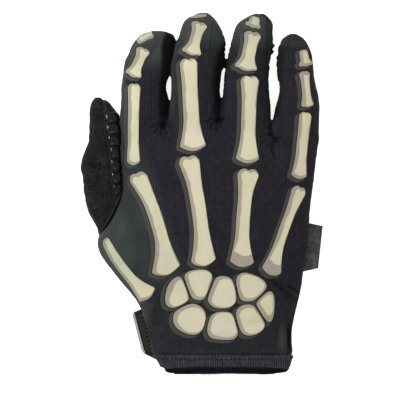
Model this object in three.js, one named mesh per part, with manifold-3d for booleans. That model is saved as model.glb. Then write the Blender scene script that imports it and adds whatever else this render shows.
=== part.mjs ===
// A right-hand tactical glove lying palm down, built the way the real one is sewn.
//
// The back of the hand and the backs of the fingers are one panel. Strips called
// fourchettes form the walls between the fingers. The palm panel wraps up the two
// outer sides and, as soft caps, over two fingertips. The thumb is a tube of its own,
// with rubber tread on its pad. A folded hem closes the wrist, a strap with a rubber
// pull tab crosses under it, and a folded label stands in the little finger's seam.
//
// Units are millimetres. X runs from the thumb to the little finger, Y from the wrist
// to the fingertips and Z up from the surface that the glove lies on.

import * as THREE from "three";
import { mergeVertices } from "three/addons/utils/BufferGeometryUtils.js";
import Module from "manifold-3d";

const wasm = await Module();
wasm.setup();

// Cloth and seams

const WALL = 1.8; // back fabric, palm leather and lining together
const SEAM_GAP = 0.3; // between two pieces that are sewn together
const HEM_EXTRA = 0.35; // how far the folded hem stands proud of the fabric

// Fingers: width and thickness at the root, length from the crotch line to the tip

const INDEX_WIDTH = 30.2;
const INDEX_THICK = 19.0;
const INDEX_LENGTH = 60.2;
const MIDDLE_WIDTH = 32.4;
const MIDDLE_THICK = 19.8;
const MIDDLE_LENGTH = 71.5;
const RING_WIDTH = 31.6;
const RING_THICK = 19.4;
const RING_LENGTH = 71.3;
const LITTLE_WIDTH = 29.8;
const LITTLE_THICK = 18.0;
const LITTLE_LENGTH = 58.4;
const FINGERS = [
  { name: "index", width: INDEX_WIDTH, thick: INDEX_THICK, length: INDEX_LENGTH },
  { name: "middle", width: MIDDLE_WIDTH, thick: MIDDLE_THICK, length: MIDDLE_LENGTH },
  { name: "ring", width: RING_WIDTH, thick: RING_THICK, length: RING_LENGTH },
  { name: "little", width: LITTLE_WIDTH, thick: LITTLE_THICK, length: LITTLE_LENGTH },
];
const FINGER_GAP = 0.9; // between neighbouring fingers at their roots

// Palm, from the wrist edge to the crotch line

const PALM_LENGTH = 156.5;
const PALM_THICK = 25.0;
const KNUCKLE_SPAN =
  FINGERS.reduce((sum, finger) => sum + finger.width, 0) +
  FINGER_GAP * (FINGERS.length - 1);

// Thumb

const THUMB_LENGTH = 102.0; // from the foot of its tube to the tip
const THUMB_WIDTH = 25.6;
const THUMB_THICK = 17.0;
const THUMB_CLEARANCE = 0.5; // between the thumb and the index side

// Seams: the height of the seam under the back panel, and the fourchettes

const SEAM_HEIGHT = 11.0; // beside the palm
const TIP_SEAM_HEIGHT = 7.2; // at the fingertips
const FOURCHETTE_HEIGHT = 5.4;
const FOURCHETTE_END = 13.0; // how far before the fingertip a strip ends
const LITTLE_CAP_DEPTH = 9.2; // from the fingertip to its cap's seam
const RING_CAP_DEPTH = 6.2;

// Wrist

const HEM_WIDTH = 9.6;
const WRIST_LEAN = 5.9; // how far the palm side is longer than the back
const STRAP_WIDTH = 32.0;
const STRAP_THICK = 2.0;
const STRAP_ANGLE = 14.5; // degrees that the strap rises towards the little finger
const STRAP_START = 22.4; // from the wrist edge to the strap's middle at the thumb side
const PULL_TAB_LENGTH = 18.0;
const PULL_TAB_REACH = 7.8; // how far the tab stands out beside the wrist
const PULL_TAB_TAPER = 3.0; // how far each side comes in towards its end
const PULL_TAB_CORNER = 2.4;
const PULL_TAB_RIB = 0.9;
const PULL_TAB_RIBS = 4;
const STRAP_MARGIN = 13.0; // from the strap's far end to the little finger's side

// Label in the side seam

const LABEL_WIDTH = 28.5;
const LABEL_REACH = 9.4;
const LABEL_THICK = 0.8; // one layer of the folded tape
const LABEL_PLACE = 77.3; // from the wrist edge to the label's middle

// Rubber tread on the thumb

const TREAD_COUNT = 7;
const TREAD_THICK = 1.1;
const TREAD_GAP = 1.3; // between two bars

// Sections

const PALM_SIDES = 36;
const FINGER_SIDES = 18;
const HOLLOW_PALM_SIDES = 24; // the inside needs fewer
const HOLLOW_FINGER_SIDES = 12;
const BIG = 400; // larger than the glove, for the solids that only cut

// One section of a soft tube that lies on a surface: round above, flat below.
const UPPER_POWER = 2.35;
const LOWER_POWER = 2.8;
const FLATTEN = 1.16; // how far the lower half is pressed into the surface

// Palm sections. along: share of PALM_LENGTH from the wrist. left, right: shares of
// KNUCKLE_SPAN from the middle. top: share of PALM_THICK. lift: 1 where the strap lies
// underneath. lean: share of WRIST_LEAN.
const PALM_SECTIONS = [
  { along: 0.014, left: 0.298, right: 0.357, top: 0.74, lift: 1, lean: 1 },
  { along: 0.057, left: 0.333, right: 0.367, top: 0.77, lift: 1, lean: 0.6 },
  { along: 0.139, left: 0.357, right: 0.365, top: 0.82, lift: 1, lean: 0.1 },
  { along: 0.209, left: 0.38, right: 0.376, top: 0.86, lift: 1, lean: 0 },
  { along: 0.27, left: 0.41, right: 0.391, top: 0.9, lift: 1, lean: 0 },
  { along: 0.344, left: 0.482, right: 0.408, top: 0.95, lift: 1, lean: 0 },
  { along: 0.413, left: 0.551, right: 0.419, top: 0.98, lift: 1, lean: 0 },
  { along: 0.487, left: 0.608, right: 0.434, top: 1.0, lift: 0.4, lean: 0 },
  { along: 0.536, left: 0.611, right: 0.444, top: 1.0, lift: 0, lean: 0 },
  { along: 0.585, left: 0.572, right: 0.448, top: 1.0, lift: 0, lean: 0 },
  { along: 0.642, left: 0.532, right: 0.454, top: 0.99, lift: 0, lean: 0 },
  { along: 0.712, left: 0.499, right: 0.464, top: 0.97, lift: 0, lean: 0 },
  { along: 0.793, left: 0.491, right: 0.479, top: 0.93, lift: 0, lean: 0 },
  { along: 0.896, left: 0.503, right: 0.492, top: 0.86, lift: 0, lean: 0 },
  { along: 0.957, left: 0.504, right: 0.5, top: 0.73, lift: 0, lean: 0 },
  { along: 1.0, left: 0.488, right: 0.486, top: 0.5, lift: 0, lean: 0 },
];

// Dents and folds in the back of the hand. x, y: the middle, as shares of KNUCKLE_SPAN
// and PALM_LENGTH. long, wide: the reach along the dent and across it, as shares of
// PALM_LENGTH. turn: degrees from the fingers' direction. depth: share of PALM_THICK.
const PALM_DENTS = [
  { place: "thumb web", x: -0.43, y: 0.66, long: 0.16, wide: 0.08, turn: 24, depth: 0.08 },
  { place: "behind the knuckles", x: 0.0, y: 0.74, long: 0.12, wide: 0.3, turn: 0, depth: 0.035 },
  { place: "little finger side", x: 0.33, y: 0.33, long: 0.17, wide: 0.07, turn: 58, depth: 0.06 },
  { place: "wrist", x: 0.33, y: 0.13, long: 0.13, wide: 0.08, turn: 28, depth: 0.08 },
  { place: "wrist, thumb side", x: -0.3, y: 0.2, long: 0.14, wide: 0.08, turn: -14, depth: 0.05 },
  { place: "index root", x: -0.24, y: 0.93, long: 0.12, wide: 0.06, turn: 0, depth: 0.05 },
  { place: "middle root", x: 0.01, y: 0.93, long: 0.12, wide: 0.06, turn: 0, depth: 0.05 },
  { place: "ring root", x: 0.26, y: 0.9, long: 0.14, wide: 0.06, turn: -4, depth: 0.06 },
];

// Finger sections. along: share of the finger's length, negative inside the palm.
// side: how far the middle lies to the right, wide: the width, both as shares of the
// finger's width. top, sole: heights as shares of its thickness.
const FINGER_SECTIONS = {
  index: [
    { along: -0.34, side: 0.2, wide: 0.5, top: 0.7, sole: 0 },
    { along: -0.1, side: 0.0, wide: 0.96, top: 0.94, sole: 0 },
    { along: 0.09, side: -0.019, wide: 0.996, top: 0.99, sole: 0 },
    { along: 0.26, side: 0.002, wide: 1.0, top: 0.96, sole: 0 },
    { along: 0.4, side: -0.019, wide: 0.954, top: 0.93, sole: 0 },
    { along: 0.55, side: 0.025, wide: 0.965, top: 0.91, sole: 0 },
    { along: 0.664, side: 0.07, wide: 0.97, top: 0.88, sole: 0 },
    { along: 0.771, side: 0.145, wide: 0.93, top: 0.84, sole: 0 },
    { along: 0.849, side: 0.185, wide: 0.9, top: 0.79, sole: 0 },
    { along: 0.915, side: 0.235, wide: 0.82, top: 0.72, sole: 0.02 },
    { along: 0.973, side: 0.278, wide: 0.6, top: 0.6, sole: 0.1 },
    { along: 1.0, side: 0.292, wide: 0.25, top: 0.48, sole: 0.24 },
  ],
  middle: [
    { along: -0.28, side: 0.0, wide: 0.5, top: 0.7, sole: 0 },
    { along: -0.08, side: 0.0, wide: 0.88, top: 0.94, sole: 0 },
    { along: 0.076, side: -0.009, wide: 0.938, top: 0.99, sole: 0 },
    { along: 0.237, side: 0.018, wide: 0.964, top: 0.96, sole: 0 },
    { along: 0.38, side: 0.031, wide: 0.978, top: 0.94, sole: 0 },
    { along: 0.479, side: 0.048, wide: 1.0, top: 0.92, sole: 0 },
    { along: 0.559, side: 0.083, wide: 1.05, top: 0.9, sole: 0 },
    { along: 0.649, side: 0.098, wide: 1.0, top: 0.88, sole: 0 },
    { along: 0.72, side: 0.127, wide: 0.985, top: 0.85, sole: 0 },
    { along: 0.8, side: 0.135, wide: 0.89, top: 0.81, sole: 0 },
    { along: 0.895, side: 0.12, wide: 0.729, top: 0.74, sole: 0.02 },
    { along: 0.95, side: 0.115, wide: 0.573, top: 0.65, sole: 0.09 },
    { along: 1.0, side: 0.16, wide: 0.24, top: 0.48, sole: 0.24 },
  ],
  ring: [
    { along: -0.28, side: 0.0, wide: 0.5, top: 0.7, sole: 0 },
    { along: -0.08, side: 0.0, wide: 0.92, top: 0.94, sole: 0 },
    { along: 0.076, side: 0.0, wide: 1.0, top: 0.99, sole: 0 },
    { along: 0.238, side: 0.003, wide: 0.942, top: 0.96, sole: 0 },
    { along: 0.38, side: 0.005, wide: 0.909, top: 0.94, sole: 0 },
    { along: 0.48, side: 0.015, wide: 0.885, top: 0.92, sole: 0 },
    { along: 0.56, side: 0.051, wide: 0.867, top: 0.9, sole: 0 },
    { along: 0.669, side: 0.092, wide: 0.865, top: 0.87, sole: 0 },
    { along: 0.758, side: 0.125, wide: 0.84, top: 0.84, sole: 0 },
    { along: 0.848, side: 0.145, wide: 0.78, top: 0.79, sole: 0.01 },
    { along: 0.92, side: 0.185, wide: 0.68, top: 0.72, sole: 0.03 },
    { along: 0.974, side: 0.241, wide: 0.405, top: 0.6, sole: 0.12 },
    { along: 1.0, side: 0.28, wide: 0.2, top: 0.48, sole: 0.24 },
  ],
  little: [
    { along: -0.36, side: -0.2, wide: 0.5, top: 0.7, sole: 0 },
    { along: -0.1, side: 0.0, wide: 0.96, top: 0.94, sole: 0 },
    { along: 0.027, side: 0.012, wide: 1.0, top: 0.99, sole: 0 },
    { along: 0.159, side: 0.042, wide: 0.949, top: 0.97, sole: 0 },
    { along: 0.29, side: 0.064, wide: 0.861, top: 0.95, sole: 0 },
    { along: 0.4, side: 0.059, wide: 0.786, top: 0.93, sole: 0 },
    { along: 0.51, side: 0.0215, wide: 0.775, top: 0.91, sole: 0 },
    { along: 0.674, side: -0.012, wide: 0.777, top: 0.87, sole: 0 },
    { along: 0.78, side: -0.0225, wide: 0.7345, top: 0.82, sole: 0 },
    { along: 0.893, side: -0.0376, wide: 0.571, top: 0.72, sole: 0.03 },
    { along: 0.97, side: -0.049, wide: 0.33, top: 0.59, sole: 0.13 },
    { along: 1.0, side: -0.053, wide: 0.14, top: 0.48, sole: 0.24 },
  ],
};

// Thumb sections. along: share of THUMB_LENGTH from the foot. right: how far the right
// edge lies left of the index side, and wide: the width, both as shares of THUMB_WIDTH.
const THUMB_FOOT = 0.46; // share of PALM_LENGTH at the foot of the thumb
const THUMB_SECTIONS = [
  { along: -0.1, right: -0.52, wide: 0.62, top: 0.6, sole: 0.3 },
  { along: 0.01, right: -0.435, wide: 0.78, top: 0.76, sole: 0.2 },
  { along: 0.1, right: -0.335, wide: 0.85, top: 0.88, sole: 0.08 },
  { along: 0.19, right: -0.21, wide: 0.85, top: 0.96, sole: 0 },
  { along: 0.278, right: -0.11, wide: 0.94, top: 1.0, sole: 0 },
  { along: 0.385, right: -0.035, wide: 0.96, top: 1.02, sole: 0 },
  { along: 0.492, right: 0.028, wide: 0.94, top: 1.02, sole: 0 },
  { along: 0.573, right: 0.078, wide: 0.94, top: 1.0, sole: 0 },
  { along: 0.636, right: 0.1, wide: 0.85, top: 0.97, sole: 0 },
  { along: 0.717, right: 0.1, wide: 0.74, top: 0.93, sole: 0 },
  { along: 0.824, right: 0.095, wide: 0.72, top: 0.88, sole: 0 },
  { along: 0.893, right: 0.14, wide: 0.66, top: 0.82, sole: 0.01 },
  { along: 0.937, right: 0.25, wide: 0.54, top: 0.75, sole: 0.04 },
  { along: 0.981, right: 0.4, wide: 0.325, top: 0.62, sole: 0.13 },
  { along: 1.0, right: 0.55, wide: 0.125, top: 0.5, sole: 0.24 },
];

// The places that the sizes give

const wristY = 0;
const crotchY = PALM_LENGTH;
const strapLift = STRAP_THICK + HEM_EXTRA + SEAM_GAP;

// The middle of each finger at its root, counted from the middle of the knuckles.
const rootX = [];
FINGERS.reduce((edge, finger, i) => {
  rootX[i] = edge + finger.width / 2;
  return edge + finger.width + FINGER_GAP;
}, -KNUCKLE_SPAN / 2);

// Linear interpolation in a table's column, by its "along".
function columnAt(rows, column, along) {
  const next = rows.findIndex((row) => row.along >= along);
  if (next <= 0) return rows[next === 0 ? 0 : rows.length - 1][column];
  const [a, b] = [rows[next - 1], rows[next]];
  return THREE.MathUtils.mapLinear(along, a.along, b.along, a[column], b[column]);
}

const palmSections = PALM_SECTIONS.map((row) => ({
  y: wristY + row.along * PALM_LENGTH,
  left: -row.left * KNUCKLE_SPAN,
  right: row.right * KNUCKLE_SPAN,
  top: row.top * PALM_THICK,
  sole: row.lift * strapLift,
  lean: row.lean * WRIST_LEAN,
  thin: 1,
}));

function fingerSections(i) {
  const { name, width, thick, length } = FINGERS[i];
  return FINGER_SECTIONS[name].map((row) => {
    const middle = rootX[i] + row.side * width;
    return {
      y: crotchY + row.along * length,
      left: middle - (row.wide * width) / 2,
      right: middle + (row.wide * width) / 2,
      top: row.top * thick,
      sole: row.sole * thick,
      lean: 0,
      thin: Math.min(1, row.wide),
    };
  });
}

const indexSide = -KNUCKLE_SPAN * columnAt(PALM_SECTIONS, "left", 0.81);
const thumbFootY = THUMB_FOOT * PALM_LENGTH;
const thumbSections = THUMB_SECTIONS.map((row) => {
  const right = indexSide - THUMB_CLEARANCE - row.right * THUMB_WIDTH;
  return {
    y: thumbFootY + row.along * THUMB_LENGTH,
    left: right - row.wide * THUMB_WIDTH,
    right,
    top: row.top * THUMB_THICK,
    sole: row.sole * THUMB_THICK,
    lean: 0,
    thin: Math.min(1, row.wide),
  };
});

// The same tube with its surface moved inwards by depth, or outwards if it's negative.
function inset(sections, depth) {
  return sections.map((s) => ({
    ...s,
    y: s.y - depth,
    left: s.left + depth * s.thin,
    right: s.right - depth * s.thin,
    top: s.top - depth,
    sole: s.sole + depth,
  }));
}

// How deep the dents lie at a place on the back of the hand.
function palmDent(x, y) {
  return PALM_DENTS.reduce((depth, dent) => {
    const away = new THREE.Vector2(x - dent.x * KNUCKLE_SPAN, y - wristY - dent.y * PALM_LENGTH);
    away.rotateAround(new THREE.Vector2(), -THREE.MathUtils.degToRad(dent.turn));
    const reach = Math.hypot(away.x / dent.wide, away.y / dent.long) / PALM_LENGTH;
    return depth + dent.depth * PALM_THICK * Math.max(0, 1 - reach ** 2) ** 2;
  }, 0);
}

// A closed tube through sections, as a cylinder whose rings are moulded one by one.
function tube(sections, sides, dent = () => 0) {
  const rings = sections.length - 1;
  const geometry = new THREE.CylinderGeometry(1, 1, 1, sides, rings);
  const place = geometry.attributes.position;
  for (let i = 0; i < place.count; i++) {
    const s = sections[Math.round((place.getY(i) + 0.5) * rings)];
    const across = place.getX(i);
    const up = place.getZ(i);
    const power = 2 / (up > 0 ? UPPER_POWER : LOWER_POWER);
    const wide = Math.sign(across) * Math.abs(across) ** power;
    let high = Math.sign(up) * Math.abs(up) ** power;
    if (high < 0) high = Math.max(-1, high * FLATTEN);
    const x = (s.left + s.right) / 2 + (wide * (s.right - s.left)) / 2;
    const y = s.y + (s.lean * (high - 1)) / 2;
    const z = (s.top + s.sole) / 2 + (high * (s.top - s.sole)) / 2;
    place.setXYZ(i, x, y, z - Math.max(0, high) * dent(x, y));
  }
  return geometry;
}

// Solids

function solid(geometry) {
  const bare = new THREE.BufferGeometry();
  bare.setAttribute("position", geometry.attributes.position);
  bare.setIndex(geometry.index);
  const merged = mergeVertices(bare, 1e-4);
  return new wasm.Manifold(
    new wasm.Mesh({
      numProp: 3,
      vertProperties: new Float32Array(merged.attributes.position.array),
      triVerts: new Uint32Array(merged.index.array),
    }),
  );
}

function block(x0, x1, y0, y1, z0, z1) {
  const box = new THREE.BoxGeometry(x1 - x0, y1 - y0, z1 - z0);
  box.translate((x0 + x1) / 2, (y0 + y1) / 2, (z0 + z1) / 2);
  return solid(box);
}

// A prism over an outline in the XY plane.
function prism(outline, z0, z1) {
  const shape = new THREE.Shape(outline.map(([x, y]) => new THREE.Vector2(x, y)));
  const geometry = new THREE.ExtrudeGeometry(shape, {
    depth: z1 - z0,
    bevelEnabled: false,
  });
  geometry.translate(0, 0, z0);
  return solid(geometry);
}

// A prism over an outline in the YZ plane, right across the glove.
function crossPrism(outline) {
  const shape = new THREE.Shape(outline.map(([y, z]) => new THREE.Vector2(y, z)));
  const geometry = new THREE.ExtrudeGeometry(shape, { depth: BIG, bevelEnabled: false });
  geometry.translate(0, 0, -BIG / 2);
  // Y and Z take the places of the outline's X and Y, and the depth runs along X.
  geometry.applyMatrix4(new THREE.Matrix4().set(0, 0, 1, 0, 1, 0, 0, 0, 0, 1, 0, 0, 0, 0, 0, 1));
  return solid(geometry);
}

const joined = (solids) => solids.reduce((whole, next) => whole.add(next));

// A cut piece without the small offcuts that fall away beside it.
const largestOf = (made) =>
  made.decompose().reduce((best, next) => (next.volume() > best.volume() ? next : best));

// The hand's outer and inner form

const fingerTubes = FINGERS.map((_, i) => fingerSections(i));
const handForm = (depth) =>
  joined([
    solid(tube(inset(palmSections, depth), PALM_SIDES, palmDent)),
    ...fingerTubes.map((sections) => solid(tube(inset(sections, depth), FINGER_SIDES))),
  ]);

// The hollow runs out through the wrist.
function openAtWrist(sections) {
  const [first, ...rest] = sections;
  return [{ ...first, y: first.y - HEM_WIDTH }, first, ...rest];
}
const handHollow = joined([
  solid(tube(openAtWrist(inset(palmSections, WALL)), HOLLOW_PALM_SIDES, palmDent)),
  ...fingerTubes.map((sections) => solid(tube(inset(sections, WALL), HOLLOW_FINGER_SIDES))),
]);
const thumbHollow = solid(tube(inset(thumbSections, WALL), HOLLOW_FINGER_SIDES));

const hand = handForm(0);
const handCleared = handForm(-SEAM_GAP);
const handShell = hand.subtract(handHollow).subtract(thumbHollow);

// Where the seams run

const tipY = crotchY + Math.max(...FINGERS.map((finger) => finger.length));
const hemY = wristY + HEM_WIDTH;

// Everything above the back panel's seam, moved up or down by shift.
function aboveSeam(shift) {
  return crossPrism([
    [wristY - BIG / 4, SEAM_HEIGHT + shift],
    [crotchY - PALM_LENGTH / 4, SEAM_HEIGHT + shift],
    [tipY, TIP_SEAM_HEIGHT + shift],
    [tipY + BIG / 4, TIP_SEAM_HEIGHT + shift],
    [tipY + BIG / 4, BIG / 4],
    [wristY - BIG / 4, BIG / 4],
  ]);
}
const upper = aboveSeam(SEAM_GAP / 2);
const notLower = aboveSeam(-SEAM_GAP / 2);

// The space between two fingers' middles, from their crotch nearly to their tips, in
// the height that a fourchette takes.
function fourchetteSpace(i, grown) {
  const [a, b] = [FINGERS[i], FINGERS[i + 1]];
  const middleAt = (finger, along) =>
    rootX[finger] +
    columnAt(FINGER_SECTIONS[FINGERS[finger].name], "side", along) * FINGERS[finger].width;
  const endA = a.length - FOURCHETTE_END;
  const endB = b.length - FOURCHETTE_END;
  const start = crotchY - 2 * WALL - grown;
  const plan = prism(
    [
      [rootX[i] - grown, start],
      [rootX[i + 1] + grown, start],
      [middleAt(i + 1, 0.4) + grown, crotchY + 0.4 * b.length],
      [middleAt(i + 1, endB / b.length) + grown, crotchY + endB + grown],
      [middleAt(i, endA / a.length) - grown, crotchY + endA + grown],
      [middleAt(i, 0.4) - grown, crotchY + 0.4 * a.length],
    ],
    -BIG / 8,
    BIG / 8,
  );
  return plan
    .intersect(aboveSeam(-FOURCHETTE_HEIGHT - SEAM_GAP / 2 - grown))
    .subtract(aboveSeam(grown ? SEAM_GAP / 2 : -SEAM_GAP / 2));
}

// The leather that wraps over a fingertip. turn leans its seam, in degrees.
const TIP_CAPS = [
  { finger: 3, depth: LITTLE_CAP_DEPTH, turn: 0, shift: 0 },
  { finger: 2, depth: RING_CAP_DEPTH, turn: -40, shift: 0.3 },
];
function capSpace({ finger, depth, turn, shift }, grown) {
  const { name, width, length } = FINGERS[finger];
  const middle = rootX[finger] + (columnAt(FINGER_SECTIONS[name], "side", 1) + shift) * width;
  const box = new THREE.BoxGeometry(2 * width, 2 * depth + 2 * grown, BIG / 4);
  box.rotateZ(THREE.MathUtils.degToRad(turn));
  box.translate(middle, crotchY + length, 0);
  const ownFinger = solid(tube(inset(fingerTubes[finger], -SEAM_GAP / 2), FINGER_SIDES));
  return solid(box).intersect(ownFinger);
}

const hemSpace = block(-BIG / 4, BIG / 4, wristY - BIG / 4, hemY, -BIG / 4, BIG / 4);
const bodySpace = block(-BIG / 4, BIG / 4, hemY + SEAM_GAP, tipY + BIG / 4, -BIG / 4, BIG / 4);

// Pieces of the hand

const capSpaces = TIP_CAPS.map((cap) => capSpace(cap, 0));
const capClearings = TIP_CAPS.map((cap) => capSpace(cap, SEAM_GAP));
const backPanel = largestOf(
  handShell.intersect(upper).intersect(bodySpace).subtract(joined(capClearings)),
);
const tipCaps = capSpaces.map((space) =>
  largestOf(handShell.intersect(upper).intersect(space)),
);

const fourchetteSpaces = [0, 1, 2].map((i) => fourchetteSpace(i, 0));
const fourchetteClearings = [0, 1, 2].map((i) => fourchetteSpace(i, SEAM_GAP));
const fourchettes = fourchetteSpaces.map((space) =>
  largestOf(handShell.intersect(space)),
);
const palmPanel = largestOf(
  handShell.subtract(notLower).intersect(bodySpace).subtract(joined(fourchetteClearings)),
);

const hem = solid(tube(inset(palmSections, -HEM_EXTRA), PALM_SIDES, palmDent))
  .subtract(handHollow)
  .intersect(hemSpace);

// Pieces of the thumb

const thumbShell = solid(tube(thumbSections, FINGER_SIDES))
  .subtract(thumbHollow)
  .subtract(handCleared);

// The thumb's seam, along the middle of its upper side and back underneath.
const THUMB_SEAM = [
  { along: -0.2, across: 0.62 },
  { along: 0.3, across: 0.62 },
  { along: 0.55, across: 0.6 },
  { along: 0.8, across: 0.56 },
  { along: 1.1, across: 0.52 },
];
function thumbSeamX(along, across) {
  const at = THREE.MathUtils.clamp(along, THUMB_SECTIONS[0].along, 1);
  const right = indexSide - THUMB_CLEARANCE - columnAt(THUMB_SECTIONS, "right", at) * THUMB_WIDTH;
  return right - (1 - across) * columnAt(THUMB_SECTIONS, "wide", at) * THUMB_WIDTH;
}
function besideThumbSeam(shift) {
  const seam = THUMB_SEAM.map(({ along, across }) => [
    thumbSeamX(along, across) + shift,
    thumbFootY + along * THUMB_LENGTH,
  ]);
  const [low, high] = [seam[0][1], seam[seam.length - 1][1]];
  return prism([...seam, [BIG / 4, high], [BIG / 4, low]], -BIG / 8, BIG / 8);
}
const thumbPad = thumbShell.intersect(besideThumbSeam(SEAM_GAP / 2));
const thumbBack = thumbShell.subtract(besideThumbSeam(-SEAM_GAP / 2));

// Bars of tread, cut from a skin over the thumb pad. They cover a stretch of the thumb
// that is given in shares of its length, and their places across in shares of its width.
const TREAD_RUN = { from: 0.39, to: 0.905 };
const TREAD_SIDES = { left: 0.07, right: 0.43 }; // counted from the seam
const treadSkin = solid(tube(inset(thumbSections, -SEAM_GAP - TREAD_THICK), FINGER_SIDES))
  .subtract(solid(tube(inset(thumbSections, -SEAM_GAP), FINGER_SIDES)))
  .subtract(handCleared)
  .intersect(block(-BIG / 4, BIG / 4, 0, BIG, THUMB_THICK / 3, BIG));
const treadPitch =
  ((TREAD_RUN.to - TREAD_RUN.from) * THUMB_LENGTH + TREAD_GAP) / TREAD_COUNT;
const treads = Array.from({ length: TREAD_COUNT }, (_, i) => {
  const high = thumbFootY + TREAD_RUN.to * THUMB_LENGTH - i * treadPitch;
  const low = high - treadPitch + TREAD_GAP;
  const along = ((low + high) / 2 - thumbFootY) / THUMB_LENGTH;
  const seamX = thumbSeamX(along, columnAt(THUMB_SEAM, "across", along));
  const left = seamX + TREAD_SIDES.left * THUMB_WIDTH;
  const right = seamX + TREAD_SIDES.right * THUMB_WIDTH;
  return largestOf(treadSkin.intersect(block(left, right, low, high, 0, BIG)));
});

// Strap, pull tab and label

const strapTurn = THREE.MathUtils.degToRad(STRAP_ANGLE);
const wristLeft = -KNUCKLE_SPAN * columnAt(PALM_SECTIONS, "left", STRAP_START / PALM_LENGTH);
const wristRight = KNUCKLE_SPAN * columnAt(PALM_SECTIONS, "right", 0.35);
const strapOrigin = [wristLeft - PULL_TAB_REACH, wristY + STRAP_START];

// A plate in the strap's own direction, from one place along it to another. Its near
// end narrows by taper over the length that stands out beside the wrist.
function strapPlate(from, to, width, z0, z1, taper, corner) {
  const half = width / 2;
  const end = half - taper;
  const rise = (taper * corner) / PULL_TAB_REACH;
  const shape = new THREE.Shape();
  shape.moveTo(to, -half);
  shape.lineTo(to, half);
  shape.lineTo(from + (taper ? PULL_TAB_REACH : corner), half);
  shape.lineTo(from + corner, end + rise);
  shape.quadraticCurveTo(from, end, from, end - corner);
  shape.lineTo(from, corner - end);
  shape.quadraticCurveTo(from, -end, from + corner, -end - rise);
  shape.lineTo(from + (taper ? PULL_TAB_REACH : corner), -half);
  const geometry = new THREE.ExtrudeGeometry(shape, {
    depth: z1 - z0,
    bevelEnabled: false,
    curveSegments: 4,
  });
  geometry.rotateZ(strapTurn);
  geometry.translate(...strapOrigin, z0);
  return solid(geometry);
}

const strapEnd = (wristRight - STRAP_MARGIN - strapOrigin[0]) / Math.cos(strapTurn);
const strapStart = PULL_TAB_LENGTH + SEAM_GAP;
const strap = strapPlate(strapStart, strapEnd, STRAP_WIDTH, 0, STRAP_THICK, 0, SEAM_GAP);
const tabPlate = strapPlate(
  0,
  PULL_TAB_LENGTH,
  STRAP_WIDTH,
  0,
  STRAP_THICK,
  PULL_TAB_TAPER,
  PULL_TAB_CORNER,
);
const ribPitch = (PULL_TAB_REACH - PULL_TAB_CORNER) / PULL_TAB_RIBS;
const ribWidth = STRAP_WIDTH - 2 * (PULL_TAB_TAPER + PULL_TAB_CORNER);
const tabRibs = Array.from({ length: PULL_TAB_RIBS }, (_, i) => {
  const from = PULL_TAB_CORNER / 2 + i * ribPitch;
  const top = STRAP_THICK + PULL_TAB_RIB;
  return strapPlate(from, from + ribPitch / 2, ribWidth, STRAP_THICK / 2, top, 0, SEAM_GAP);
});
const pullTab = joined([tabPlate, ...tabRibs.map((rib) => rib.subtract(handCleared))]);

// The label is a tape folded in two, with its fold outside.
const labelMiddle = wristY + LABEL_PLACE;
const sideAt = (y) => KNUCKLE_SPAN * columnAt(PALM_SECTIONS, "right", (y - wristY) / PALM_LENGTH);
const labelLean = Math.atan2(
  sideAt(labelMiddle + LABEL_WIDTH / 2) - sideAt(labelMiddle - LABEL_WIDTH / 2),
  LABEL_WIDTH,
);
const labelFold = new THREE.Shape();
const foldRadius = LABEL_THICK * 1.4;
labelFold.moveTo(-2 * WALL, -foldRadius);
labelFold.lineTo(LABEL_REACH - foldRadius, -foldRadius);
labelFold.absarc(LABEL_REACH - foldRadius, 0, foldRadius, -Math.PI / 2, Math.PI / 2, false);
labelFold.lineTo(-2 * WALL, foldRadius);
labelFold.lineTo(-2 * WALL, foldRadius - LABEL_THICK);
labelFold.lineTo(LABEL_REACH - foldRadius, foldRadius - LABEL_THICK);
labelFold.absarc(
  LABEL_REACH - foldRadius,
  0,
  foldRadius - LABEL_THICK,
  Math.PI / 2,
  -Math.PI / 2,
  true,
);
labelFold.lineTo(-2 * WALL, LABEL_THICK - foldRadius);
const labelTape = new THREE.ExtrudeGeometry(labelFold, {
  depth: LABEL_WIDTH,
  bevelEnabled: false,
  curveSegments: 6,
});
labelTape.rotateX(Math.PI / 2);
labelTape.translate(0, LABEL_WIDTH / 2, 0);
labelTape.rotateZ(-labelLean);
labelTape.translate(sideAt(labelMiddle), labelMiddle, SEAM_HEIGHT);
const label = solid(labelTape).subtract(handCleared);

// Materials

const colour = (hex, roughness) =>
  new THREE.MeshStandardMaterial({ color: hex, roughness, metalness: 0 });
const knit = colour(0x211f28, 0.85);
const suede = colour(0x2b2b2a, 0.95);
const leather = colour(0x1f1f20, 0.8);
const rubber = colour(0x121212, 0.35);
const webbing = colour(0x1c1d1c, 0.8);
const tape = colour(0x333b36, 0.8);

// The glove as a scene graph

const glove = new THREE.Group();
function addPiece(name, made, material) {
  const mesh = made.getMesh();
  const geometry = new THREE.BufferGeometry();
  geometry.setAttribute("position", new THREE.BufferAttribute(mesh.vertProperties, 3));
  geometry.setIndex(new THREE.BufferAttribute(mesh.triVerts, 1));
  geometry.computeVertexNormals();
  const piece = new THREE.Mesh(geometry, material);
  piece.name = name;
  glove.add(piece);
}

addPiece("back_panel", backPanel, knit);
addPiece("palm_panel", palmPanel, leather);
fourchettes.forEach((made, i) =>
  addPiece(`fourchette_${FINGERS[i].name}_${FINGERS[i + 1].name}`, made, knit),
);
tipCaps.forEach((made, i) =>
  addPiece(`${FINGERS[TIP_CAPS[i].finger].name}_tip_cap`, made, suede),
);
addPiece("cuff_hem", hem, knit);
addPiece("thumb_back", thumbBack, suede);
addPiece("thumb_pad", thumbPad, leather);
treads.forEach((made, i) => addPiece(`thumb_tread_${i + 1}`, made, rubber));
addPiece("closure_strap", strap, webbing);
addPiece("pull_tab", pullTab, rubber);
addPiece("side_label", label, tape);

// The origin is on the surface, under the middle of the glove's box.
const box = new THREE.Box3().setFromObject(glove);
glove.position.set(-(box.min.x + box.max.x) / 2, -(box.min.y + box.max.y) / 2, -box.min.z);

export default glove;
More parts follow.
